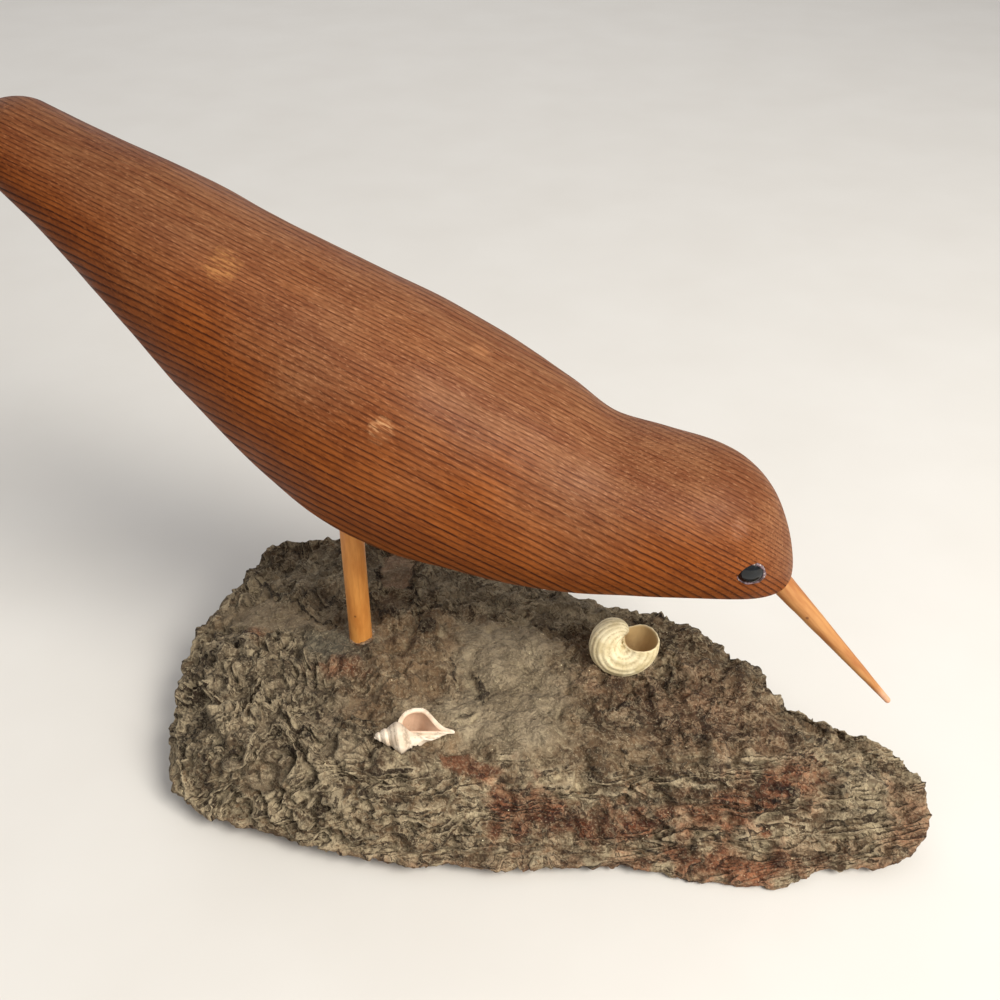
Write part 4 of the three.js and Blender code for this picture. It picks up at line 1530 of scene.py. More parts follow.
@dataclass
class BarkSlab:
    """Slab of old bark: layered and flaky at the left, smooth in the middle, ridged along the front."""

    length: float = 258.0
    thickness: float = 36.0
    middle: tuple[float, float] = (0.256, -0.031)
    rim_band: float = 1.0
    calm_radius: float = 14.0
    around: int = 1040
    across: int = 214
    wall_rows: int = 30
    wall_profile: Line = ((1.0, 0.9), (2 / 3, 0.45), (0.0, 0.0))
    base_rows: int = 8
    triangles: int = 188000
    rim: tuple[RimPoint, ...] = tuple(RimPoint(*row) for row in (
        (-0.233, -0.12, 0.5, 0.84, 0.9), (-0.252, -0.02, 0.58, 0.84, 0.93), (-0.236, 0.045, 0.68, 0.86, 0.94),
        (-0.212, 0.125, 0.82, 0.88, 0.95), (-0.2, 0.182, 0.88, 0.9, 0.95), (-0.1, 0.213, 0.9, 0.9, 0.94),
        (0.04, 0.205, 0.92, 0.88, 0.92), (0.175, 0.178, 0.92, 0.86, 0.9), (0.326, 0.143, 0.9, 0.84, 0.88),
        (0.411, 0.142, 0.88, 0.84, 0.88), (0.48, 0.106, 0.84, 0.84, 0.88), (0.545, 0.058, 0.8, 0.84, 0.9),
        (0.566, 0.024, 0.78, 0.84, 0.9), (0.632, 0, 0.7, 0.8, 0.92), (0.7, -0.008, 0.6, 0.74, 0.93),
        (0.745, -0.038, 0.5, 0.7, 0.92), (0.754, -0.106, 0.3, 0.66, 0.9), (0.72, -0.14, 0.17, 0.56, 0.86),
        (0.63, -0.163, 0.12, 0.48, 0.86), (0.6, -0.182, 0.08, 0.44, 0.92), (0.54, -0.2, 0.08, 0.4, 0.93),
        (0.45, -0.204, 0.11, 0.4, 0.88), (0.36, -0.219, 0.16, 0.46, 0.85), (0.25, -0.248, 0.2, 0.6, 0.8),
        (0.14, -0.265, 0.22, 0.72, 0.76), (0.02, -0.272, 0.24, 0.8, 0.74), (-0.075, -0.256, 0.24, 0.84, 0.76),
        (-0.155, -0.25, 0.27, 0.86, 0.8), (-0.205, -0.188, 0.4, 0.85, 0.85),
    ))
    top: Line = (
        (-0.25, 0.68), (-0.15, 0.86), (0, 1), (0.25, 1.01), (0.42, 0.93), (0.58, 0.78), (0.76, 0.5))
    waves: tuple[tuple[float, float, float, float], ...] = (
        (0.236, 18, 0.0194, 0.4), (0.143, 97, 0.0167, 1.9), (0.089, 152, 0.0125, 3.1), (0.058, 61, 0.0097, 5.2))
    cracks: tuple[Crack, ...] = tuple(Crack(*row) for row in (
        (((-56, 31), (-48, 26), (-40, 20), (-33, 16), (-27, 14), (-22, 9), (-15, 7), (-8, 6.5)), 0.9, 1.5),
        (((9, 45), (9.5, 36), (11, 27), (15, 20), (18, 12), (20, 6)), 0.8, 1.2),
        (((-5, 42), (-4, 34), (-1, 28), (0, 22)), 0.7, 1.0),
        (((2, 13.5), (6, 11.5), (10, 10.5), (14, 13)), 1.2, 1.6),
        (((33, 1), (36, -8), (38, -14), (39, -19)), 0.6, 0.9),
        (((43, -8), (46, -14), (49, -17), (48.5, -22), (50, -26)), 1.0, 1.4),
        (((43, -33.5), (46, -31.5), (48.5, -29.5)), 0.7, 0.9),
        (((-31, -27), (-22, -34), (-12, -37), (-2, -39.5), (8, -40), (20, -43.5)), 0.8, 1.4),
        (((-13, -36), (-7, -33), (-5, -28)), 0.6, 0.9),
        (((-9, -52), (-6, -56), (-1, -60)), 0.8, 1.3),
        (((106, 9), (108.5, 4), (111, -2)), 1.1, 1.4),
        (((122, -6), (125, -5), (129, -5)), 0.6, 0.9),
        (((126, -24), (132, -26), (139, -25), (146, -25)), 0.5, 0.8),
        (((165, -15), (167, -18), (168.5, -21)), 1.0, 1.5),
        (((172, -9), (176, -9.5), (181, -13)), 0.6, 0.9),
        (((138, -36), (141, -33), (149, -30), (158, -28)), 1.0, 1.5),
        (((171, -27), (175.5, -24)), 0.5, 0.8),
        (((86, -19.5), (90, -18.5), (95, -17)), 0.6, 0.9),
        (((150, -8), (153, -10), (156.5, -8), (156, -5)), 0.8, 1.1),
        (((98, 36), (104, 34.5)), 0.8, 1.0),
        (((46, -52), (49, -55), (52, -60)), 0.6, 1.0),
        (((57, -49), (60, -54)), 0.6, 0.9),
        (((20, -52), (28, -51), (36, -53)), 0.9, 1.2),
    ))
    patches: tuple[Patch, ...] = tuple(Patch(*row) for row in (
        (((-52, 4), (-50, 16), (-40, 17), (-26, 11), (-12, 4), (-4, 2), (-6, -2), (-20, 0), (-40, 0)),
         1.5, 2.0, "pale", 0.4, 0.9),
        (((-22, 0), (-4, 2), (6, -4), (3, -12), (-8, -15), (-20, -12)), 5.0, 3.0, "teal", 0.9, 0.85),
        (((-10, -15), (2, -14), (6, -17), (-2, -20), (-12, -18)), 2.5, 3.0, "red", 0.8, 0.4),
        (((-40, 0), (-33, -1), (-34, -7), (-41, -6)), 2.5, 3.0, "red", 0.6, 0.2),
        (((-4, 50), (6, 49), (10, 40), (10, 29), (6, 25), (-1, 28), (-4, 36)), 0.9, 0.8, "red", 0.35, 0.95, 0.5),
        (((1, 24), (8, 24), (13, 20), (14, 14), (8, 12), (3, 14), (0, 20)), 0.9, 0.8, "dark", 0.55, 0.95, 0.7),
        (((-27, -20), (-14, -21), (-6, -27), (-5, -34), (-14, -36), (-26, -28)),
         1.6, 2.0, "dark", 0.35, 0.5, 0.5),
        (((-17, -52), (-12, -50.5), (-7, -52), (-5, -57), (-10, -60), (-16, -58)),
         1.2, 1.2, "dark", 0.4, 0.6, 0.5),
        (((28, 18), (60, 21), (78, -8), (76, -30), (70, -46), (44, -42), (30, -34), (38, -20), (34, -2)),
         7.0, 6.0, "pale", 0.95, 0.8),
        (((22, -30), (36, -24), (46, -30), (42, -44), (24, -44)), 5.0, 4.0, "pale", 0.7, 0.6),
        (((0, -44), (18, -45), (20, -56), (4, -58)), 3.0, 4.0, "pale", 0.7, 0.5),
        (((41, -50), (47, -46.2), (51.5, -46.6), (50.5, -52.5), (43, -53)), 0.7, 0.6, "red", 0.75, 0.95, 0.5),
        (((51.3, -46.6), (58.5, -48.6), (56, -51.5), (50.7, -52.5)), 0.6, 0.6, "rust", 0.9, 0.8, 0.2),
        (((19, -46), (38, -50), (42, -56), (22, -58)), 3.0, 3.0, "dark", 0.55, 0.4, -0.8),
        (((58, -51), (84, -47), (112, -38), (134, -31), (152, -24), (164, -17), (160, -27), (134, -38),
         (100, -47), (62, -57)), 4.0, 7.0, "red", 0.9, 0.1),
        (((84, -8), (120, 10), (150, -4), (150, -18), (118, -22), (92, -14)), 12.0, 10.0, "red", 0.4, 0.0),
        (((114, -46), (134, -44), (156, -40), (154, -46), (140, -52), (118, -52)), 3.0, 4.0, "red", 0.9, 0.3),
        (((182, -12), (197, -16), (196, -34), (184, -32)), 5.0, 5.0, "red", 0.6, 0.2),
        (((108, -5), (124, -6), (134, -12), (130, -18), (112, -16)), 6.0, 6.0, "dark", 0.5, 0.0),
        # Painted light: a pale patch over the back lightens the bark where the bird's shadow falls.
        (((-50, 36), (-40, 46), (40, 46), (92, 34), (90, 18), (40, 20), (0, 24), (-45, 22)),
         6.0, 8.0, "pale", 1.0, 0.5),
        # Painted light: a pale base over the left third lightens the bark that the bird partly shades.
        (((-64, -52), (-64, 40), (-10, 40), (-2, -10), (6, -62)), 8.0, 14.0, "pale", 0.65, 0.0),
        (((160, -8), (194, -12), (196, -34), (164, -26)), 6.0, 8.0, "pale", 0.5, 0.0),
    ))
    knot: tuple[float, float, float] = (22.0, 7.0, 3.6)
    grip: float = 0.35
    relief_limits: tuple[float, float] = (-4.6, 1.9)
    comb_line: Line = (
        (-5, -60), (7, -57), (40, -48), (60, -43), (90, -36), (120, -26), (150, -17), (168, -6), (200, 8))
    comb_turn: tuple[Point, ...] = ((0.956, -0.293, 0.0), (0.293, 0.956, 0.0), (0.0, 0.0, 1.0))
    swirls: tuple[tuple[float, float, float, float], ...] = (
        (-24, -26, 12, 2.3), (-34, -43, 7.5, 1.7), (-11, -55, 8, 1.9), (-47, -12, 9, 1.5), (-20, 31, 9, 1.6),
        (-39, 37, 9, 1.6), (10, -50, 7, 1.3), (-2, -28, 8, 1.2), (34, 32, 10, 1.6), (58, 30, 9, 1.4))

    def closed_curve(self, turn: Array, rows: Array, power: float) -> Array:
        """Runs a smooth closed curve through rows of numbers.

        Args:
            turn: Shares of the way round.
            rows: The rows that it passes through.
            power: Power of the squared step that spaces the rows; 0 spaces them evenly.

        Returns:
            One row a share.
        """
        count = len(rows)
        place = turn * count
        index = np.floor(place).astype(int)
        part = (place - index)[:, None]
        p0, p1, p2, p3 = (rows[(index + shift) % count] for shift in (-1, 0, 1, 2))
        if power > 0:
            d0, d1, d2 = (
                (np.sum((b - a) ** 2, axis=1) ** power)[:, None] for a, b in ((p0, p1), (p1, p2), (p2, p3)))
        else:
            d0 = d1 = d2 = np.ones_like(part)
        start = ((p1 - p0) / d0 - (p2 - p0) / (d0 + d1) + (p2 - p1) / d1) * d1
        end = ((p2 - p1) / d1 - (p3 - p1) / (d1 + d2) + (p3 - p2) / d2) * d1
        square = 3 * (p2 - p1) - 2 * start - end
        cube = 2 * (p1 - p2) + start + end
        return p1 + start * part + square * part**2 + cube * part**3

    def flat_top(self, x: Array, y: Array) -> Array:
        """Height of the slab's top without its rim, in millimetres."""
        height = smooth_curve(x / self.length, *zip(*self.top))
        wave = np.zeros_like(x)
        for length, heading, swell, shift in self.waves:
            turn = math.radians(heading)
            along = x * math.cos(turn) + y * math.sin(turn)
            wave += swell * self.thickness * np.sin(TURN * along / (length * self.length) + shift)
        calm = 1 - np.exp(-((x / self.calm_radius) ** 2 + (y / self.calm_radius) ** 2))
        return height * self.thickness + wave * calm

    def base_grid(self) -> tuple[Array, int]:
        """The slab's smooth skin, as rings from the middle of the top to that of the underside.

        Returns:
            Points in rings, shaped (rings, around, 3), and how many of the rings are the top's.
        """
        turn = 1.0 - np.arange(self.around) / self.around
        rim = self.closed_curve(turn % 1.0, np.array([[p.x, p.y, p.edge] for p in self.rim]), 0.25)
        fall = self.closed_curve(turn % 1.0, np.array([[p.shoulder, p.foot] for p in self.rim]), 0.0)
        edge, shoulder, foot = rim[:, 2] * self.thickness, fall[:, 0], fall[:, 1]
        inner = np.array(self.middle)

        def plan(out: Array) -> Array:
            """Plan place at a share of the way out."""
            return (inner + (rim[:, :2] - inner) * np.reshape(out, (-1, 1))) * self.length

        rings = []
        for out in np.linspace(0.0, 1.0, self.across + 1)[1:] ** 0.82:
            place = plan(np.full(self.around, out))
            drop = smooth_step(np.clip((out - shoulder) / (1 - shoulder), 0, 1))
            height = blend_values(self.flat_top(place[:, 0], place[:, 1]), edge + self.rim_band, drop)
            rings.append(np.column_stack([place, height]))
        for step in np.linspace(0.0, 1.0, self.wall_rows):
            share, lift = (np.interp(step, (0.0, 0.5, 1.0), column) for column in zip(*self.wall_profile))
            rings.append(np.column_stack([plan(foot + (1 - foot) * share), edge * lift]))
        for out in np.linspace(1.0, 0.05, self.base_rows + 1)[1:]:
            rings.append(np.column_stack([plan(foot * out), np.zeros(self.around)]))
        return np.array(rings), self.across

    def settle(self, points: Array, shell: Object, cell: float = 0.5) -> None:
        """Presses the bark down where a shell sits in it, so that its hollow stays free.

        Args:
            points: The bark's points, changed in place.
            shell: The shell.
            cell: Width of the squares in which the shell's underside is taken, in millimetres.
        """
        skin = np.array([vertex.co for vertex in shell.data.vertices]) / MM
        start = skin.min(axis=0)[:2]
        size = ((skin.max(axis=0)[:2] - start) / cell).astype(int) + 1
        underside = np.full(size, np.inf)
        np.minimum.at(underside, tuple(((skin[:, :2] - start) / cell).astype(int).T), skin[:, 2])
        square = np.floor((points[:, :2] - start) / cell).astype(int)
        above = (square >= 0).all(axis=1) & (square < size).all(axis=1) & (points[:, 2] > skin[:, 2].min() - cell)
        limit = underside[tuple(square[above].T)] + self.grip
        points[above, 2] = np.minimum(points[above, 2], limit)

    def build(
        self, material: Material, cutters: Sequence[Object],
        shells: Sequence[Object],
    ) -> Object:
        """Makes the slab.

        Args:
            material: The bark.
            cutters: What stands in sockets, grown by a fit.
            shells: What sits in the bark.

        Returns:
            The finished piece.
        """
        grid, top_rings = self.base_grid()
        points = grid.reshape(-1, 3)
        down = np.gradient(grid, axis=0)
        side = np.roll(grid, -1, axis=1) - np.roll(grid, 1, axis=1)
        normal = np.cross(side, down)
        for _ in range(3):
            normal /= np.linalg.norm(normal, axis=2)[:, :, None] + TINY
            normal = normal + np.roll(normal, 5, 1) + np.roll(normal, -5, 1)
            inner, outer = np.roll(normal, 3, 0), np.roll(normal, -3, 0)
            inner[:3], outer[-3:] = normal[:3], normal[-3:]
            normal = normal + inner + outer
        normal = normal.reshape(-1, 3)
        normal /= np.linalg.norm(normal, axis=1)[:, None] + TINY
        steps = np.linalg.norm(np.diff(grid, axis=0), axis=2)
        run = np.concatenate([np.zeros((1, self.around)), np.cumsum(steps, axis=0)])
        under = np.repeat(np.arange(len(grid)), self.around) >= top_rings + self.wall_rows - 1
        from_rim = (run - run[top_rings - 1]).ravel()
        height, tones = self.relief(points, from_rim)
        height = np.where(under, 0.0, height)
        moved = points + normal * height[:, None]
        moved[:, 2] = np.maximum(moved[:, 2], 0.0)
        for shell in shells:
            self.settle(moved, shell)
        middle_top = moved[: self.around].mean(axis=0)
        middle_base = np.array([self.middle[0] * self.length, self.middle[1] * self.length, 0.0])
        allpoints = np.concatenate([[middle_top], moved, [middle_base]])
        mesh = plain_mesh("bark_surface", allpoints, ring_faces(len(grid), self.around))
        for name, values in tones.items():
            store(mesh, name, np.concatenate([values[:1], values, values[-1:]]))
        piece = add_object("bark_surface", mesh)
        thin = piece.modifiers.new("thin", "DECIMATE")
        thin.ratio = self.triangles / triangle_count(mesh)
        applied(piece)
        cut_away(piece, cutters)
        dress(piece, material, Slot.BARK, "bark_slab")
        return piece

    def relief(self, points: Array, from_rim: Array) -> tuple[Array, dict[str, Array]]:
        """Works out the carving of the bark's surface.

        Args:
            points: The smooth skin, one row a point.
            from_rim: Distance from the rim over the skin, negative on the top.

        Returns:
            Height to add along the normal, in millimetres, and the tones to store.
        """
        plan = points[:, :2]
        x, y = plan.T
        warp = np.column_stack([Grit(51).at(points, 5.0, 4, 0.6), Grit(52).at(points, 5.0, 4, 0.6)])
        soft = Grit(61).at(points, 4.0, 3)
        free, height, tones = self.patched(plan, soft)

        def at_least(least: float) -> Array:
            """How free each place is, but never under a least share."""
            return least + (1.0 - least) * free

        wall = ease(from_rim, -5.0, 0.0)
        left = ease(x + 0.25 * y, 0.0, -22.0) * ease(y, 10.0, -6.0)
        front_left = ease(y, -38.0, -47.0) * ease(x, 30.0, 8.0)
        back = ease(y, 12.0, 19.0) * ease(x, 92.0, 70.0)
        layered = np.clip(np.maximum.reduce([left, front_left, back * 0.7]) + wall * 0.7, 0.0, 1.0)
        comb_edge = np.interp(x, *zip(*self.comb_line))
        ridged = ease(y - comb_edge, 2.5, -3.5)
        wrinkled = ease(x + soft * 5.0, 60.0, 100.0) * (1.0 - ridged)
        raked_on = np.maximum(ridged, wrinkled * 0.7)
        striped = ease(from_rim, -15.0, -8.0) * ease(x, 34.0, 6.0) * ease(y, 12.0, -10.0)

        contour = from_rim / 12.0 + Grit(73).at(points, 20.0, 3, 0.5) * 1.5 + soft * 0.05
        for swirl_x, swirl_y, radius, turns in self.swirls:
            away = np.hypot(x - swirl_x, (y - swirl_y) * 1.15)
            contour += 0.8 * turns * np.exp(-((away / radius) ** 2))
        steps, lips, grooves = self.terrace(contour, 0.13)
        small = from_rim / 9.0 + Grit(74).at(points, 8.5, 3, 0.5) * 1.5 + soft * 0.1
        small_steps, small_lips, small_grooves = self.terrace(small, 0.2)
        kept = ease(Grit(81).at(points, 9.0, 3), -0.7, 0.1)
        broken = ease(Grit(75).at(points, 6.0, 3), -0.1, 0.5)
        bands = from_rim / 2.2 + Grit(86).at(points, 12.0, 3, 0.5) * 1.6 + soft * 0.08
        stripes, stripe_lips, stripe_grooves = (part * broken for part in self.terrace(bands, 0.3))
        turned = points @ np.array(self.comb_turn)
        stretched = turned * (0.13, 1.0, 1.0)
        comb = turned[:, 1] / 2.5 + Grit(76).at(stretched, 6.0, 3, 0.5) * 1.5
        furrows, furrow_lips, furrow_grooves = self.terrace(comb, 0.34)
        combed = ease(Grit(77).at(stretched, 4.5, 2), -0.8, 0.1)
        fibre = Grit(84).at(stretched, 1.7, 2)
        knobs = Grit(72).at(points, 6.0, 3)
        lumps = Grit(71).at(points, 17.0, 2) * 1.3 + knobs * 1.3
        wander = Grit(82).at(turned * (0.6, 1.0, 1.0) + warp[:, :1] * 0.5, 8.0, 2, 0.5)
        crease = np.exp(-((wander / 0.07) ** 2)) * ease(Grit(83).at(points, 9.0, 2), -0.2, 0.4)
        nicks = Grit(85).at(points, 3.4, 4, 0.6)
        plates = Grit(87).at(points, 13.0, 4, 0.6)
        plated = ease(Grit(88).at(points, 14.0, 2), -0.5, 0.1)
        plate_step = ease(plates, -0.03, 0.05) * plated
        plate_edge = np.exp(-((plates / 0.05) ** 2)) * plated

        bend = np.column_stack([Grit(91).at(points, 9.0, 4, 0.55), Grit(92).at(points, 9.0, 4, 0.55)])
        around = np.arctan2(y - self.middle[1] * self.length, (x - self.middle[0] * self.length) * 0.62) * 62.0
        ringed = np.column_stack([around * 0.42, from_rim]) + bend * 2.6
        raked = turned[:, :2] * (0.3, 1.0) + bend * (1.0, 1.6)
        bark_flakes = [Grit(93).flakes(ringed, 6.5, 0.6), Grit(94).flakes(ringed + 40.0, 3.2, 0.45)]
        comb_flakes = [Grit(95).flakes(raked, 5.0, 0.55), Grit(96).flakes(raked + 40.0, 2.4, 0.4)]
        flaked = np.clip(layered + 0.35 * ease(Grit(97).at(points, 12.0, 3), 0.0, 0.5), 0.0, 1.0) * (1.0 - ridged)

        height += lumps * at_least(0.25)
        for (level, _, groove), step in zip(bark_flakes, (2.3, 1.1)):
            height += (level * step - groove * step * 0.3) * flaked * free
        for (level, _, groove), step in zip(comb_flakes, (1.8, 0.9)):
            height += (level * step - groove * step * 0.3) * raked_on * at_least(0.3)
        height += (steps * 3.2 * kept + small_steps * 0.8 * broken) * layered * free
        height += stripes * 0.9 * striped * free
        height += (furrows * 1.1 * combed + fibre * 0.3) * ridged * at_least(0.35)
        height += (ease(wander, -0.05, 0.05) * 0.8 - crease * 0.5) * wrinkled * at_least(0.4)
        height += nicks * 0.75 * at_least(0.25)
        height += plate_step * 1.2 * free * (1.0 - ridged)
        # What follows sets the relief tone, which becomes painted highlight and painted shade, not height.
        lined = (lips * 0.8 - grooves * 1.4) * kept + (small_lips * 0.5 - small_grooves * 0.9) * broken
        relief = lined * layered * free + (stripe_lips * 0.4 - stripe_grooves * 0.7) * striped * free
        relief += ((furrow_lips * 0.6 - furrow_grooves * 0.6) * combed + fibre * 0.3) * ridged * at_least(0.4)
        relief -= crease * (0.75 * wrinkled + 0.3 * (1.0 - wrinkled)) * at_least(0.3)
        for (_, lip, groove), part in zip(bark_flakes, (1.0, 0.7)):
            relief += (lip * 0.6 - groove * 1.0) * part * flaked * free
        for (_, lip, groove), part in zip(comb_flakes, (0.9, 0.6)):
            relief += (lip * 0.6 - groove * 0.9) * part * raked_on * at_least(0.3)
        relief += nicks * 0.18 + knobs * 0.08
        relief -= plate_edge * 0.45 * free * (1.0 - ridged)

        gouge = self.crack_open(plan, warp, soft, height, relief)
        hole = np.hypot(x - self.knot[0], y - self.knot[1]) + soft * 0.9
        pit = ease(hole, self.knot[2], self.knot[2] * 0.4)
        swirl = np.exp(-(((hole - self.knot[2] * 1.5) / 1.4) ** 2))
        height += swirl * 1.1 - pit * 2.8 - gouge
        relief += swirl * 0.4 - pit * 1.5 - gouge * 1.6

        # The relief tone paints highlights on lips, ridges and crack edges, and paints shade in grooves, cracks and
        # the knot hole.
        tones["relief"] = np.clip(relief, -1.2, 1.2)
        tones["layer"], tones["layer_on"] = contour, layered * free * kept
        tones["comb"], tones["comb_on"] = comb, ridged * combed * at_least(0.4)
        tones["flake_on"] = np.clip(flaked * free + 0.3, 0.0, 1.0) * (1.0 - ridged)
        tones["rake_on"] = raked_on * at_least(0.3)
        under = ease(points[:, 2], 11.0, 4.0) * ease(y, -15.0, -35.0) * ease(soft, -0.6, 0.3)
        tones["red"] = np.maximum(tones["red"], under * 0.6)
        rust = tones.pop("rust")
        tones["red"] = np.maximum(tones["red"], rust)
        tones["dark"] = np.maximum(tones["dark"], rust * 0.6)
        foot_calm = ease(np.hypot(x, y), 4.5, 9.0)
        near_rim = 0.35 + 0.65 * ease(-from_rim, 1.0, 6.0)
        return np.clip((height - 0.5) * near_rim * 1.35, *self.relief_limits) * foot_calm, tones

    def patched(self, plan: Array, soft: Array) -> tuple[Array, Array, dict[str, Array]]:
        """Lays the patches with their own surface and tone.

        Args:
            plan: Plan places, one row each.
            soft: Noise that makes the patches' outlines ragged.

        Returns:
            How free each place is of the patches' calm, the height of their steps, and the tones so far.
        """
        tones = {name: np.zeros(len(plan)) for name in ("pale", "red", "rust", "dark", "teal")}
        calm, height = np.zeros(len(plan)), np.zeros(len(plan))
        for patch in self.patches:
            mask = ease(inside_depth(plan, patch.corners) + soft * patch.ragged * 0.5, -patch.blur, patch.blur)
            calm = np.maximum(calm, mask * patch.calm)
            height += mask * patch.step
            tones[patch.tone] = np.maximum(tones[patch.tone], mask * patch.strength)
        return 1.0 - calm, height, tones

    def crack_open(
        self, plan: Array, warp: Array, soft: Array, height: Array, relief: Array,
    ) -> Array:
        """Lifts the lips of the cracks and paints a highlight on them.

        Args:
            plan: Plan places, one row each.
            warp: Noise that bends the cracks.
            soft: Noise that varies their width.
            height: Height of the surface, changed in place.
            relief: The painted highlight and painted shade of the relief, changed in place.

        Returns:
            How deep the cracks go, in millimetres.
        """
        gouge = np.zeros(len(plan))
        for crack in self.cracks:
            away, along = segment_distance(plan + warp * 0.9, crack.line)
            taper = np.clip(np.sin(np.pi * np.clip(along, 0.03, 0.97)) * 1.6, 0.2, 1.0)
            width = np.maximum(crack.width * taper * (0.75 + 0.5 * soft), 0.22)
            gouge = np.maximum(gouge, np.exp(-((away / width) ** 2)) * taper * crack.depth)
            lift = np.exp(-(((away - 2.0 * crack.width) / 1.1) ** 2)) * taper
            height += 0.5 * lift
            relief += 0.35 * lift
        return gouge

    @staticmethod
    def terrace(field: Array, edge: float) -> tuple[Array, Array, Array]:
        """Turns a field into overlapping layers with an abrupt edge each.

        Args:
            field: Numbers that count the layers.
            edge: Share of a layer that its edge takes.

        Returns:
            Height from -0.5 to 0.5, the lips of the layers, which get a painted highlight, and the grooves under them,
            which get painted shade.
        """
        part = field - np.floor(field)
        rise = ease(part, 0.0, edge)
        fall = ease(part, edge, 1.0)
        lips = np.exp(-(((part - edge * 1.3) / edge) ** 2))
        grooves = np.exp(-((np.minimum(part, 1.0 - part) / (edge * 0.55)) ** 2))
        return rise * (1.0 - fall) - 0.5, lips, grooves


@dataclass
class BarkCrumbs:
    """Loose flakes and sand grains that lie on the bark."""

    seed: int = 7

    def tree(self, name: str, flat: float) -> NodeTree:
        """Builds the tree that scatters crumbs over a surface.

        Args:
            name: Name of the tree.
            flat: Thickness of a crumb as a share of its width.

        Returns:
            The tree.
        """
        inputs = {
            "Surface": GEOMETRY, "Density": FLOAT, "Least Size": FLOAT, "Most Size": FLOAT, "Lift": FLOAT,
            "Seed": WHOLE, "Material": MATERIAL,
        }
        sheet, given, go = new_group(name, inputs, {"Crumbs": GEOMETRY}, "GeometryNodeTree")
        up = sheet.add("ShaderNodeSeparateXYZ", {0: sheet.geometry("InputNormal")})
        upwards = sheet.calc("GREATER_THAN", up.outputs["Z"], 0.55)
        drifts = sheet.add("ShaderNodeTexNoise", {
            "Vector": sheet.geometry("InputPosition"), "Scale": 55.0, "Detail": 3.0})
        gathered = sheet.graded(drifts.outputs["Fac"], 0.48, 0.68, 0.04, 2.6)
        density = upwards * gathered * given["Density"]
        cast = sheet.add("GeometryNodeDistributePointsOnFaces", {
            "Mesh": given["Surface"], "Density": density, "Seed": given["Seed"]})
        crumb = sheet.geometry("MeshIcoSphere", {"Radius": 1.0, "Subdivisions": 1})
        squash = sheet.geometry("Transform", {"Geometry": crumb, "Scale": (1.0, 0.8, flat)})
        size = sheet.add("FunctionNodeRandomValue", {
            "Min": 0.0, "Max": 1.0, "Seed": given["Seed"] + 1.0}, data_type="FLOAT")
        share = Flow(sheet, size.outputs[1]) ** 2.0
        scale = share * (given["Most Size"] - given["Least Size"]) + given["Least Size"]
        spin = sheet.add("FunctionNodeRandomValue", {
            "Min": (-0.25, -0.25, 0.0), "Max": (0.25, 0.25, TURN), "Seed": given["Seed"] + 2.0},
            data_type="FLOAT_VECTOR")
        laid = sheet.add("FunctionNodeRotateRotation", {
            "Rotation": cast.outputs["Rotation"], "Rotate By": spin.outputs[0]}, rotation_space="LOCAL")
        put = sheet.geometry("InstanceOnPoints", {
            "Points": cast.outputs["Points"], "Instance": squash, "Rotation": laid.outputs[0], "Scale": scale})
        real = sheet.geometry("RealizeInstances", {"Geometry": put})
        noise = sheet.add("ShaderNodeTexNoise", {
            "Vector": sheet.geometry("InputPosition"), "Scale": 900.0, "Detail": 2.0})
        push = sheet.vector("SUBTRACT", noise.outputs["Color"], (0.5, 0.5, 0.5))
        shift = sheet.vector("SCALE", push, given["Lift"])
        moved = sheet.geometry("SetPosition", {"Geometry": real, "Offset": shift})
        coat = sheet.geometry("SetMaterial", {"Geometry": moved, "Material": given["Material"]})
        sheet.feed(go.inputs["Crumbs"], coat)
        return sheet.tree

    def build(self, surface: Object, sand: Material, bark: Material) -> None:
        """Scatters the sand and the flakes.

        Args:
            surface: The bark.
            sand: Material of the sand.
            bark: Material of the flakes.
        """
        kinds = (
            ("sand_grains", "sand_scatter", 0.8, 9000.0, (0.08, 0.3), 0.1, 0, sand),
            ("bark_flakes", "flake_scatter", 0.16, 16000.0, (0.5, 1.9), 0.9, 5, bark),
        )
        for name, tree_name, flat, density, (least, most), lift, shift, material in kinds:
            crumbs = grown(name, surface.data.copy(), self.tree(tree_name, flat), {
                "Density": density, "Least Size": least * MM, "Most Size": most * MM, "Lift": lift * MM,
                "Seed": self.seed + shift, "Material": material})
            dress(crumbs, material, Slot.BARK)


# Shells


OUTSIDE_END = 0.78
LIP_SHARE = 0.03
INSIDE_START = 0.81
INSIDE_SHARE = 0.19
SEAM_GAP = 0.0002 * MM


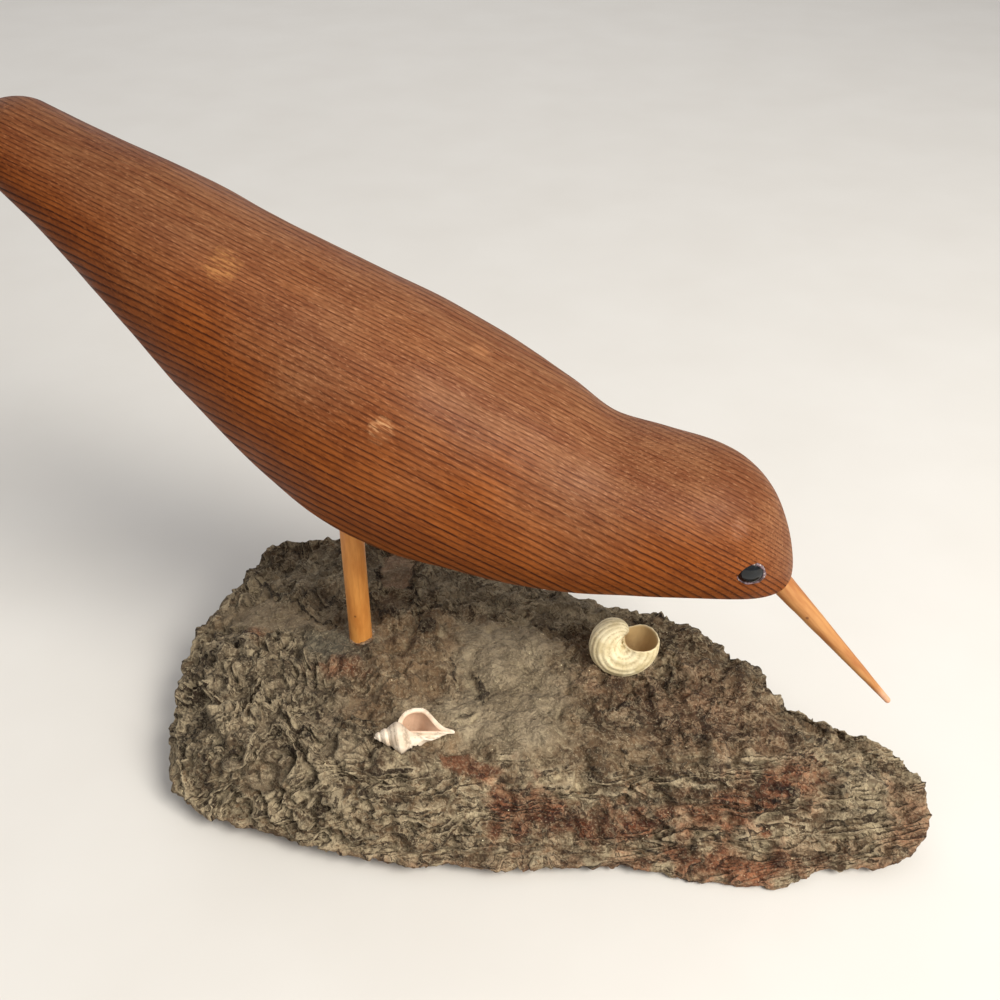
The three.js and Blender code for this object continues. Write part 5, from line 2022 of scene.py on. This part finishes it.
@dataclass
class CoiledShell:
    """A sea shell: a tube that grows evenly as it coils round a core.

    The place is in shares of the slab's length, the radius, the wall, the cords, the ribs and the lip's swell
    are in millimetres, and the other lengths are shares of the radius. Every plain number is an input of the tree.
    """

    node: str
    name: str
    slot: Slot
    at: tuple[float, float]
    turn: Matrix
    radius: float
    width: float
    to_spire: float
    to_base: float
    rise: float
    turns: float
    shrink: float
    shrink_power: float
    squareness: float
    flatness: float
    columella: float
    cords: float
    cord_height: float
    ribs: float
    rib_height: float
    canal: float = 0.0
    lip_swell: float = 0.0
    wall: float = 0.8
    slant: float = math.radians(12.0)
    cavity_turns: float = 0.4
    swell_turns: float = 0.035
    steps_along: int = 560
    steps_around: int = 150

    def tree(self) -> NodeTree:
        """Builds the tree that coils the tube: outside, over the lip and back inside.

        Returns:
            The tree.
        """
        names = [item.name for item in fields(self) if item.type is float]
        inputs = dict.fromkeys(names, FLOAT) | {"steps_along": WHOLE, "steps_around": WHOLE, "Material": MATERIAL}
        sheet, given, go = new_group("coiled_shell", inputs, {"Shell": GEOMETRY}, "GeometryNodeTree")
        mesh = sheet.geometry("MeshGrid", {
            "Size X": 1.0, "Size Y": 1.0, "Vertices X": given["steps_along"], "Vertices Y": given["steps_around"]})
        place = sheet.add("ShaderNodeSeparateXYZ", {0: sheet.geometry("InputPosition")})
        s = Flow(sheet, place.outputs["X"]) + 0.5
        v = Flow(sheet, place.outputs["Y"]) + 0.5
        outer = (s / OUTSIDE_END).least(1.0)
        over = ((s - OUTSIDE_END) / LIP_SHARE).most(0.0).least(1.0)
        inner = ((s - INSIDE_START) / INSIDE_SHARE).most(0.0).least(1.0)
        back = given["turns"] * ((1.0 - outer) ** 1.15) + given["cavity_turns"] * inner
        back = back - sheet.calc("SINE", over * math.pi) * 0.006
        scale = sheet.calc("EXPONENT", 0.0 - (back.most(0.0) * given["shrink"]) ** given["shrink_power"])
        angle_round = v * TURN
        cosine, sine = sheet.calc("COSINE", angle_round), sheet.calc("SINE", angle_round)
        on_spire = sheet.calc("GREATER_THAN", cosine, 0.0) * sheet.calc("LESS_THAN", sine, 0.0)
        straight = sheet.calc("ABSOLUTE", cosine) + sheet.calc("ABSOLUTE", sine)
        flat = on_spire * given["flatness"] * sheet.graded(back, 0.0, 0.12, 0.25, 1.0)
        reach = 1.0 - flat + flat / straight
        up, out = sine * reach, cosine * reach
        inward = (0.0 - out).most(0.0)
        on_base = sheet.graded(up, -0.2, 0.5)
        square = given["squareness"] * (1.0 - on_base) + on_base * 0.75
        squared = out.most(0.0) - inward ** square * sheet.calc("GREATER_THAN", inward, 0.0)
        closing = (s * 60.0).least(1.0) * ((1.0 - s) * 14.0).least(1.0)
        narrowing = 1.0 - given["canal"] * sheet.graded(up, 0.15, 0.8) * closing
        cord_wave = sheet.calc("COSINE", v * TURN * given["cords"])
        rib_wave = sheet.calc("COSINE", back * TURN * given["ribs"])
        growth = sheet.add("ShaderNodeTexNoise", {
            "Vector": sheet.combine(back * 34.0, v * 3.0, 0.0), "Scale": 1.0, "Detail": 3.0, "Roughness": 0.6})
        lines = Flow(sheet, growth.outputs["Fac"]) - 0.5
        wander = sheet.add("ShaderNodeTexNoise", {
            "Vector": sheet.combine(back * 5.0, v * 9.0, 3.0), "Scale": 1.0, "Detail": 2.0})
        cord = cord_wave * (Flow(sheet, wander.outputs["Fac"]) * 1.6 - 0.1)
        outside = 1.0 - over
        seam_calm = (v * 24.0).least(1.0) * ((1.0 - v) * 24.0).least(1.0)
        relief = cord * given["cord_height"] + rib_wave * given["rib_height"] + lines * 0.3
        bump = relief * outside * scale * seam_calm
        swell = given["lip_swell"] * sheet.graded(back, given["swell_turns"], 0.0) * outside
        skin = bump + swell - given["wall"] * over
        width = (given["width"] * 0.5 * scale * narrowing + skin) * closing
        middle = (given["radius"] - given["width"] * 0.5) * scale * narrowing
        below = sheet.calc("LESS_THAN", up, 0.0)
        tall = ((below * given["to_spire"] + (1.0 - below) * given["to_base"]) * scale + skin) * closing
        core = given["columella"] * scale * (0.5 + over * 0.5)
        radius = (middle + width * squared).most(core)
        angle = 0.0 - back * TURN + given["slant"] * (1.0 - up) * 0.5 * closing
        x = radius * sheet.calc("COSINE", angle)
        y = radius * sheet.calc("SINE", angle)
        z = given["rise"] * scale + tall * up
        point = sheet.vector("SCALE", sheet.combine(x, y, z), MM)
        stored = {"inner": over * 0.12 + inner * 0.88, "furrow": sheet.graded(cord, 0.1, -0.9) * outside}
        for name, value in stored.items():
            mesh = sheet.geometry("StoreNamedAttribute", {
                "Geometry": mesh, "Name": name, "Value": value}, data_type="FLOAT", domain="POINT")
        shaped = sheet.geometry("SetPosition", {"Geometry": mesh, "Position": point})
        closed = sheet.geometry("MergeByDistance", {"Geometry": shaped, "Distance": SEAM_GAP})
        real = sheet.geometry("RealizeInstances", {"Geometry": sheet.geometry("SetShadeSmooth", {"Geometry": closed})})
        coat = sheet.geometry("SetMaterial", {"Geometry": real, "Material": given["Material"]})
        sheet.feed(go.inputs["Shell"], coat)
        return sheet.tree

    def build(self, tree: NodeTree, material: Material) -> Object:
        """Coils the shell and sets it on the slab.

        Args:
            tree: The shared tree.
            material: The shell's material.

        Returns:
            The finished piece.
        """
        values = {item.name: getattr(self, item.name) for item in fields(self) if item.type in (float, int)}
        for key in ("width", "to_spire", "to_base", "rise", "columella"):
            values[key] *= self.radius
        piece = grown(self.name, bpy.data.meshes.new(self.name), tree, values | {"Material": material})
        piece.data.transform(self.turn)
        heights = np.array([vertex.co.z for vertex in piece.data.vertices])
        low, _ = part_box(self.node)
        slab = BarkSlab().length
        shift = Vector((self.at[0] * slab * MM, self.at[1] * slab * MM, low.z - heights.min()))
        piece.data.transform(Matrix.Translation(shift))
        dress(piece, material, self.slot, self.node)
        return piece


def turned_by(*turns: tuple[float, str]) -> Matrix:
    """Turns about several axes in a row.

    Args:
        turns: Degrees and axis of each turn, the last one made first.

    Returns:
        The matrix.
    """
    matrix = Matrix.Identity(4)
    for degrees, axis in turns:
        matrix = matrix @ Matrix.Rotation(math.radians(degrees), 4, axis)
    return matrix


def build_shells(effects: Effects) -> list[Object]:
    """Builds the round shell and the whelk.

    Args:
        effects: Shared shader effects.

    Returns:
        The two pieces.
    """
    round_turn = turned_by((12, "Z"), (80, "X"), (-2, "Z"))
    whelk_turn = turned_by((12, "Z"), (90, "Y"), (180 - 57, "Z"))
    round_shell = CoiledShell(
        "shell_round", "round_shell", Slot.ROUND_SHELL, (0.35, 0.0365), round_turn, radius=12.6, width=0.975,
        to_spire=0.74, to_base=0.5, rise=0.5, turns=1.12, shrink=1.19, shrink_power=4.0, squareness=0.5,
        flatness=0.2, columella=0.04, cords=17.0, cord_height=0.16, ribs=9.0, rib_height=0.03)
    whelk_shell = CoiledShell(
        "shell_whelk", "whelk_shell", Slot.WHELK_SHELL, (0.0744, -0.1938), whelk_turn, radius=8.2, width=0.988,
        to_spire=0.6, to_base=1.42, rise=1.72, turns=3.6, shrink=0.62, shrink_power=1.0, squareness=0.8,
        flatness=0.8, columella=0.2, cords=9.0, cord_height=0.03, ribs=7.0, rib_height=0.13, canal=0.68,
        lip_swell=0.6)
    tree = round_shell.tree()
    chalk = SeaShell(name="round_shell_chalk").material(effects)
    worn = SeaShell(
        name="whelk_shell_worn", light=(238, 223, 200), shade=(214, 192, 164), groove=(140, 122, 100),
        mouth=(216, 180, 150), deep=(132, 96, 72)).material(effects)
    return [round_shell.build(tree, chalk), whelk_shell.build(tree, worn)]


# Studio


@dataclass
class Studio:
    """Pale floor, soft light and the camera."""

    place: Point = (0.114006, -0.300136, 0.321339)
    right: Point = (0.97815, 0.20791, 0.0)
    up: Point = (-0.12073, 0.56801, 0.81412)
    ahead: Point = (-0.16926, 0.79633, -0.58070)
    lens: float = 43.2
    floor_size: float = 6.0

    def camera(self) -> None:
        """Sets the camera up."""
        data = bpy.data.cameras.new("camera")
        data.lens = self.lens
        data.sensor_width = 36.0
        data.sensor_fit = "HORIZONTAL"
        data.clip_start = 0.01
        camera = bpy.data.objects.new("camera", data)
        columns = (Vector(self.right), Vector(self.up), -Vector(self.ahead))
        turn = Matrix([[columns[col][row] for col in range(3)] for row in range(3)]).to_4x4()
        camera.matrix_world = Matrix.Translation(Vector(self.place)) @ turn
        bpy.context.scene.collection.objects.link(camera)
        bpy.context.scene.camera = camera

    def light(self, name: str, place: Point, target: Point, size: float, power: float, colour: Colour) -> None:
        """Adds a soft square light.

        Args:
            name: Name of the light.
            place: Where it stands.
            target: What it shines at.
            size: Width of its face.
            power: Power in watts.
            colour: Its colour.
        """
        data = bpy.data.lights.new(name, "AREA")
        data.size = size
        data.energy = power
        data.color = colour
        lamp = bpy.data.objects.new(name, data)
        turn = (Vector(target) - Vector(place)).to_track_quat("-Z", "Y")
        lamp.matrix_world = Matrix.Translation(Vector(place)) @ turn.to_matrix().to_4x4()
        bpy.context.scene.collection.objects.link(lamp)

    def floor(self) -> None:
        """Lays the floor."""
        half = self.floor_size / 2 / MM
        corners = np.array([(-half, -half, 0), (half, -half, 0), (half, half, 0), (-half, half, 0)], float)
        floor = add_object("floor", plain_mesh("floor", corners, [np.array([[0, 1, 2, 3]])]))
        finish = Finish("pale_floor", roughness=0.8, specular=0.2)
        sheet = finish.start()
        colour = sheet.mix(sheet.noise(sheet.place, 60.0, 3.0), (214, 210, 202), (222, 219, 212))
        sheet.feed(sheet.shader.inputs["Base Color"], colour)
        floor.data.materials.append(sheet.material)

    def build(self) -> None:
        """Sets up the whole studio."""
        self.camera()
        self.floor()
        target = (0.04, -0.01, 0.09)
        self.light("key", (0.8, -0.56, 0.98), target, 0.55, 17.5, (1.0, 0.97, 0.92))
        self.light("window", (-0.35, 0.95, 0.8), target, 1.2, 2.4, (0.97, 0.98, 1.0))
        self.light("fill", (0.9, -0.5, 0.8), target, 0.9, 5.0, (1.0, 0.97, 0.93))
        world = bpy.data.worlds.new("soft_room")
        world.use_nodes = True
        background = world.node_tree.nodes["Background"]
        background.inputs["Color"].default_value = (0.98, 0.97, 1.0, 1.0)
        background.inputs["Strength"].default_value = 0.5
        bpy.context.scene.world = world
        bpy.context.scene.view_settings.view_transform = "Standard"


def main() -> None:
    """Builds every piece in order."""
    logging.basicConfig(level=logging.INFO, format="%(name)s: %(message)s")
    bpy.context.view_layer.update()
    Studio().build()
    effects = Effects()
    body, leg = Body(), Leg()
    bill, eyes = Bill(body), Eyes(body)
    glue = DriedGlue().material(effects)
    cutters = [
        add_object("bill_cutter", bill.mesh(body.socket_gap)),
        add_object("leg_cutter", leg.mesh(body.socket_gap)),
        eyes.seat(-1),
        eyes.seat(1),
    ]
    body.build(cutters, CarvedWood().material(effects))
    tip = bill.matrix() @ Vector((0, 0, bill.length * MM))
    droop = math.radians(bill.droop_deg)
    bill_wood = DowelWood(
        name="bill_wood", along=(math.cos(droop), 0.0, -math.sin(droop)), across=(0.35, 0.85, 0.33),
        tip=tuple(tip / MM), tip_radius=9.0, fleck_share=0.07, light=(188, 134, 76), dark=(160, 98, 46))
    bill.build(bill_wood.material(effects))
    eye_glue = DriedGlue(name="eye_glue", clear=(126, 104, 110), dusty=(58, 38, 34)).material(effects)
    eyes.build(EyeGlass().material(effects), eye_glue)
    leg_wood = DowelWood(name="leg_wood", light=(230, 158, 78), dark=(202, 127, 55), fleck_share=0.01)
    leg.build(leg_wood.material(effects), glue)
    shells = build_shells(effects)
    bark = OldBark().material(effects)
    slab = BarkSlab().build(bark, [add_object("leg_cutter", leg.mesh(body.socket_gap))], shells)
    sand = SeaShell(name="sand_grains").material(effects)
    BarkCrumbs().build(slab, sand, bark)


if __name__ == "__main__":
    main()
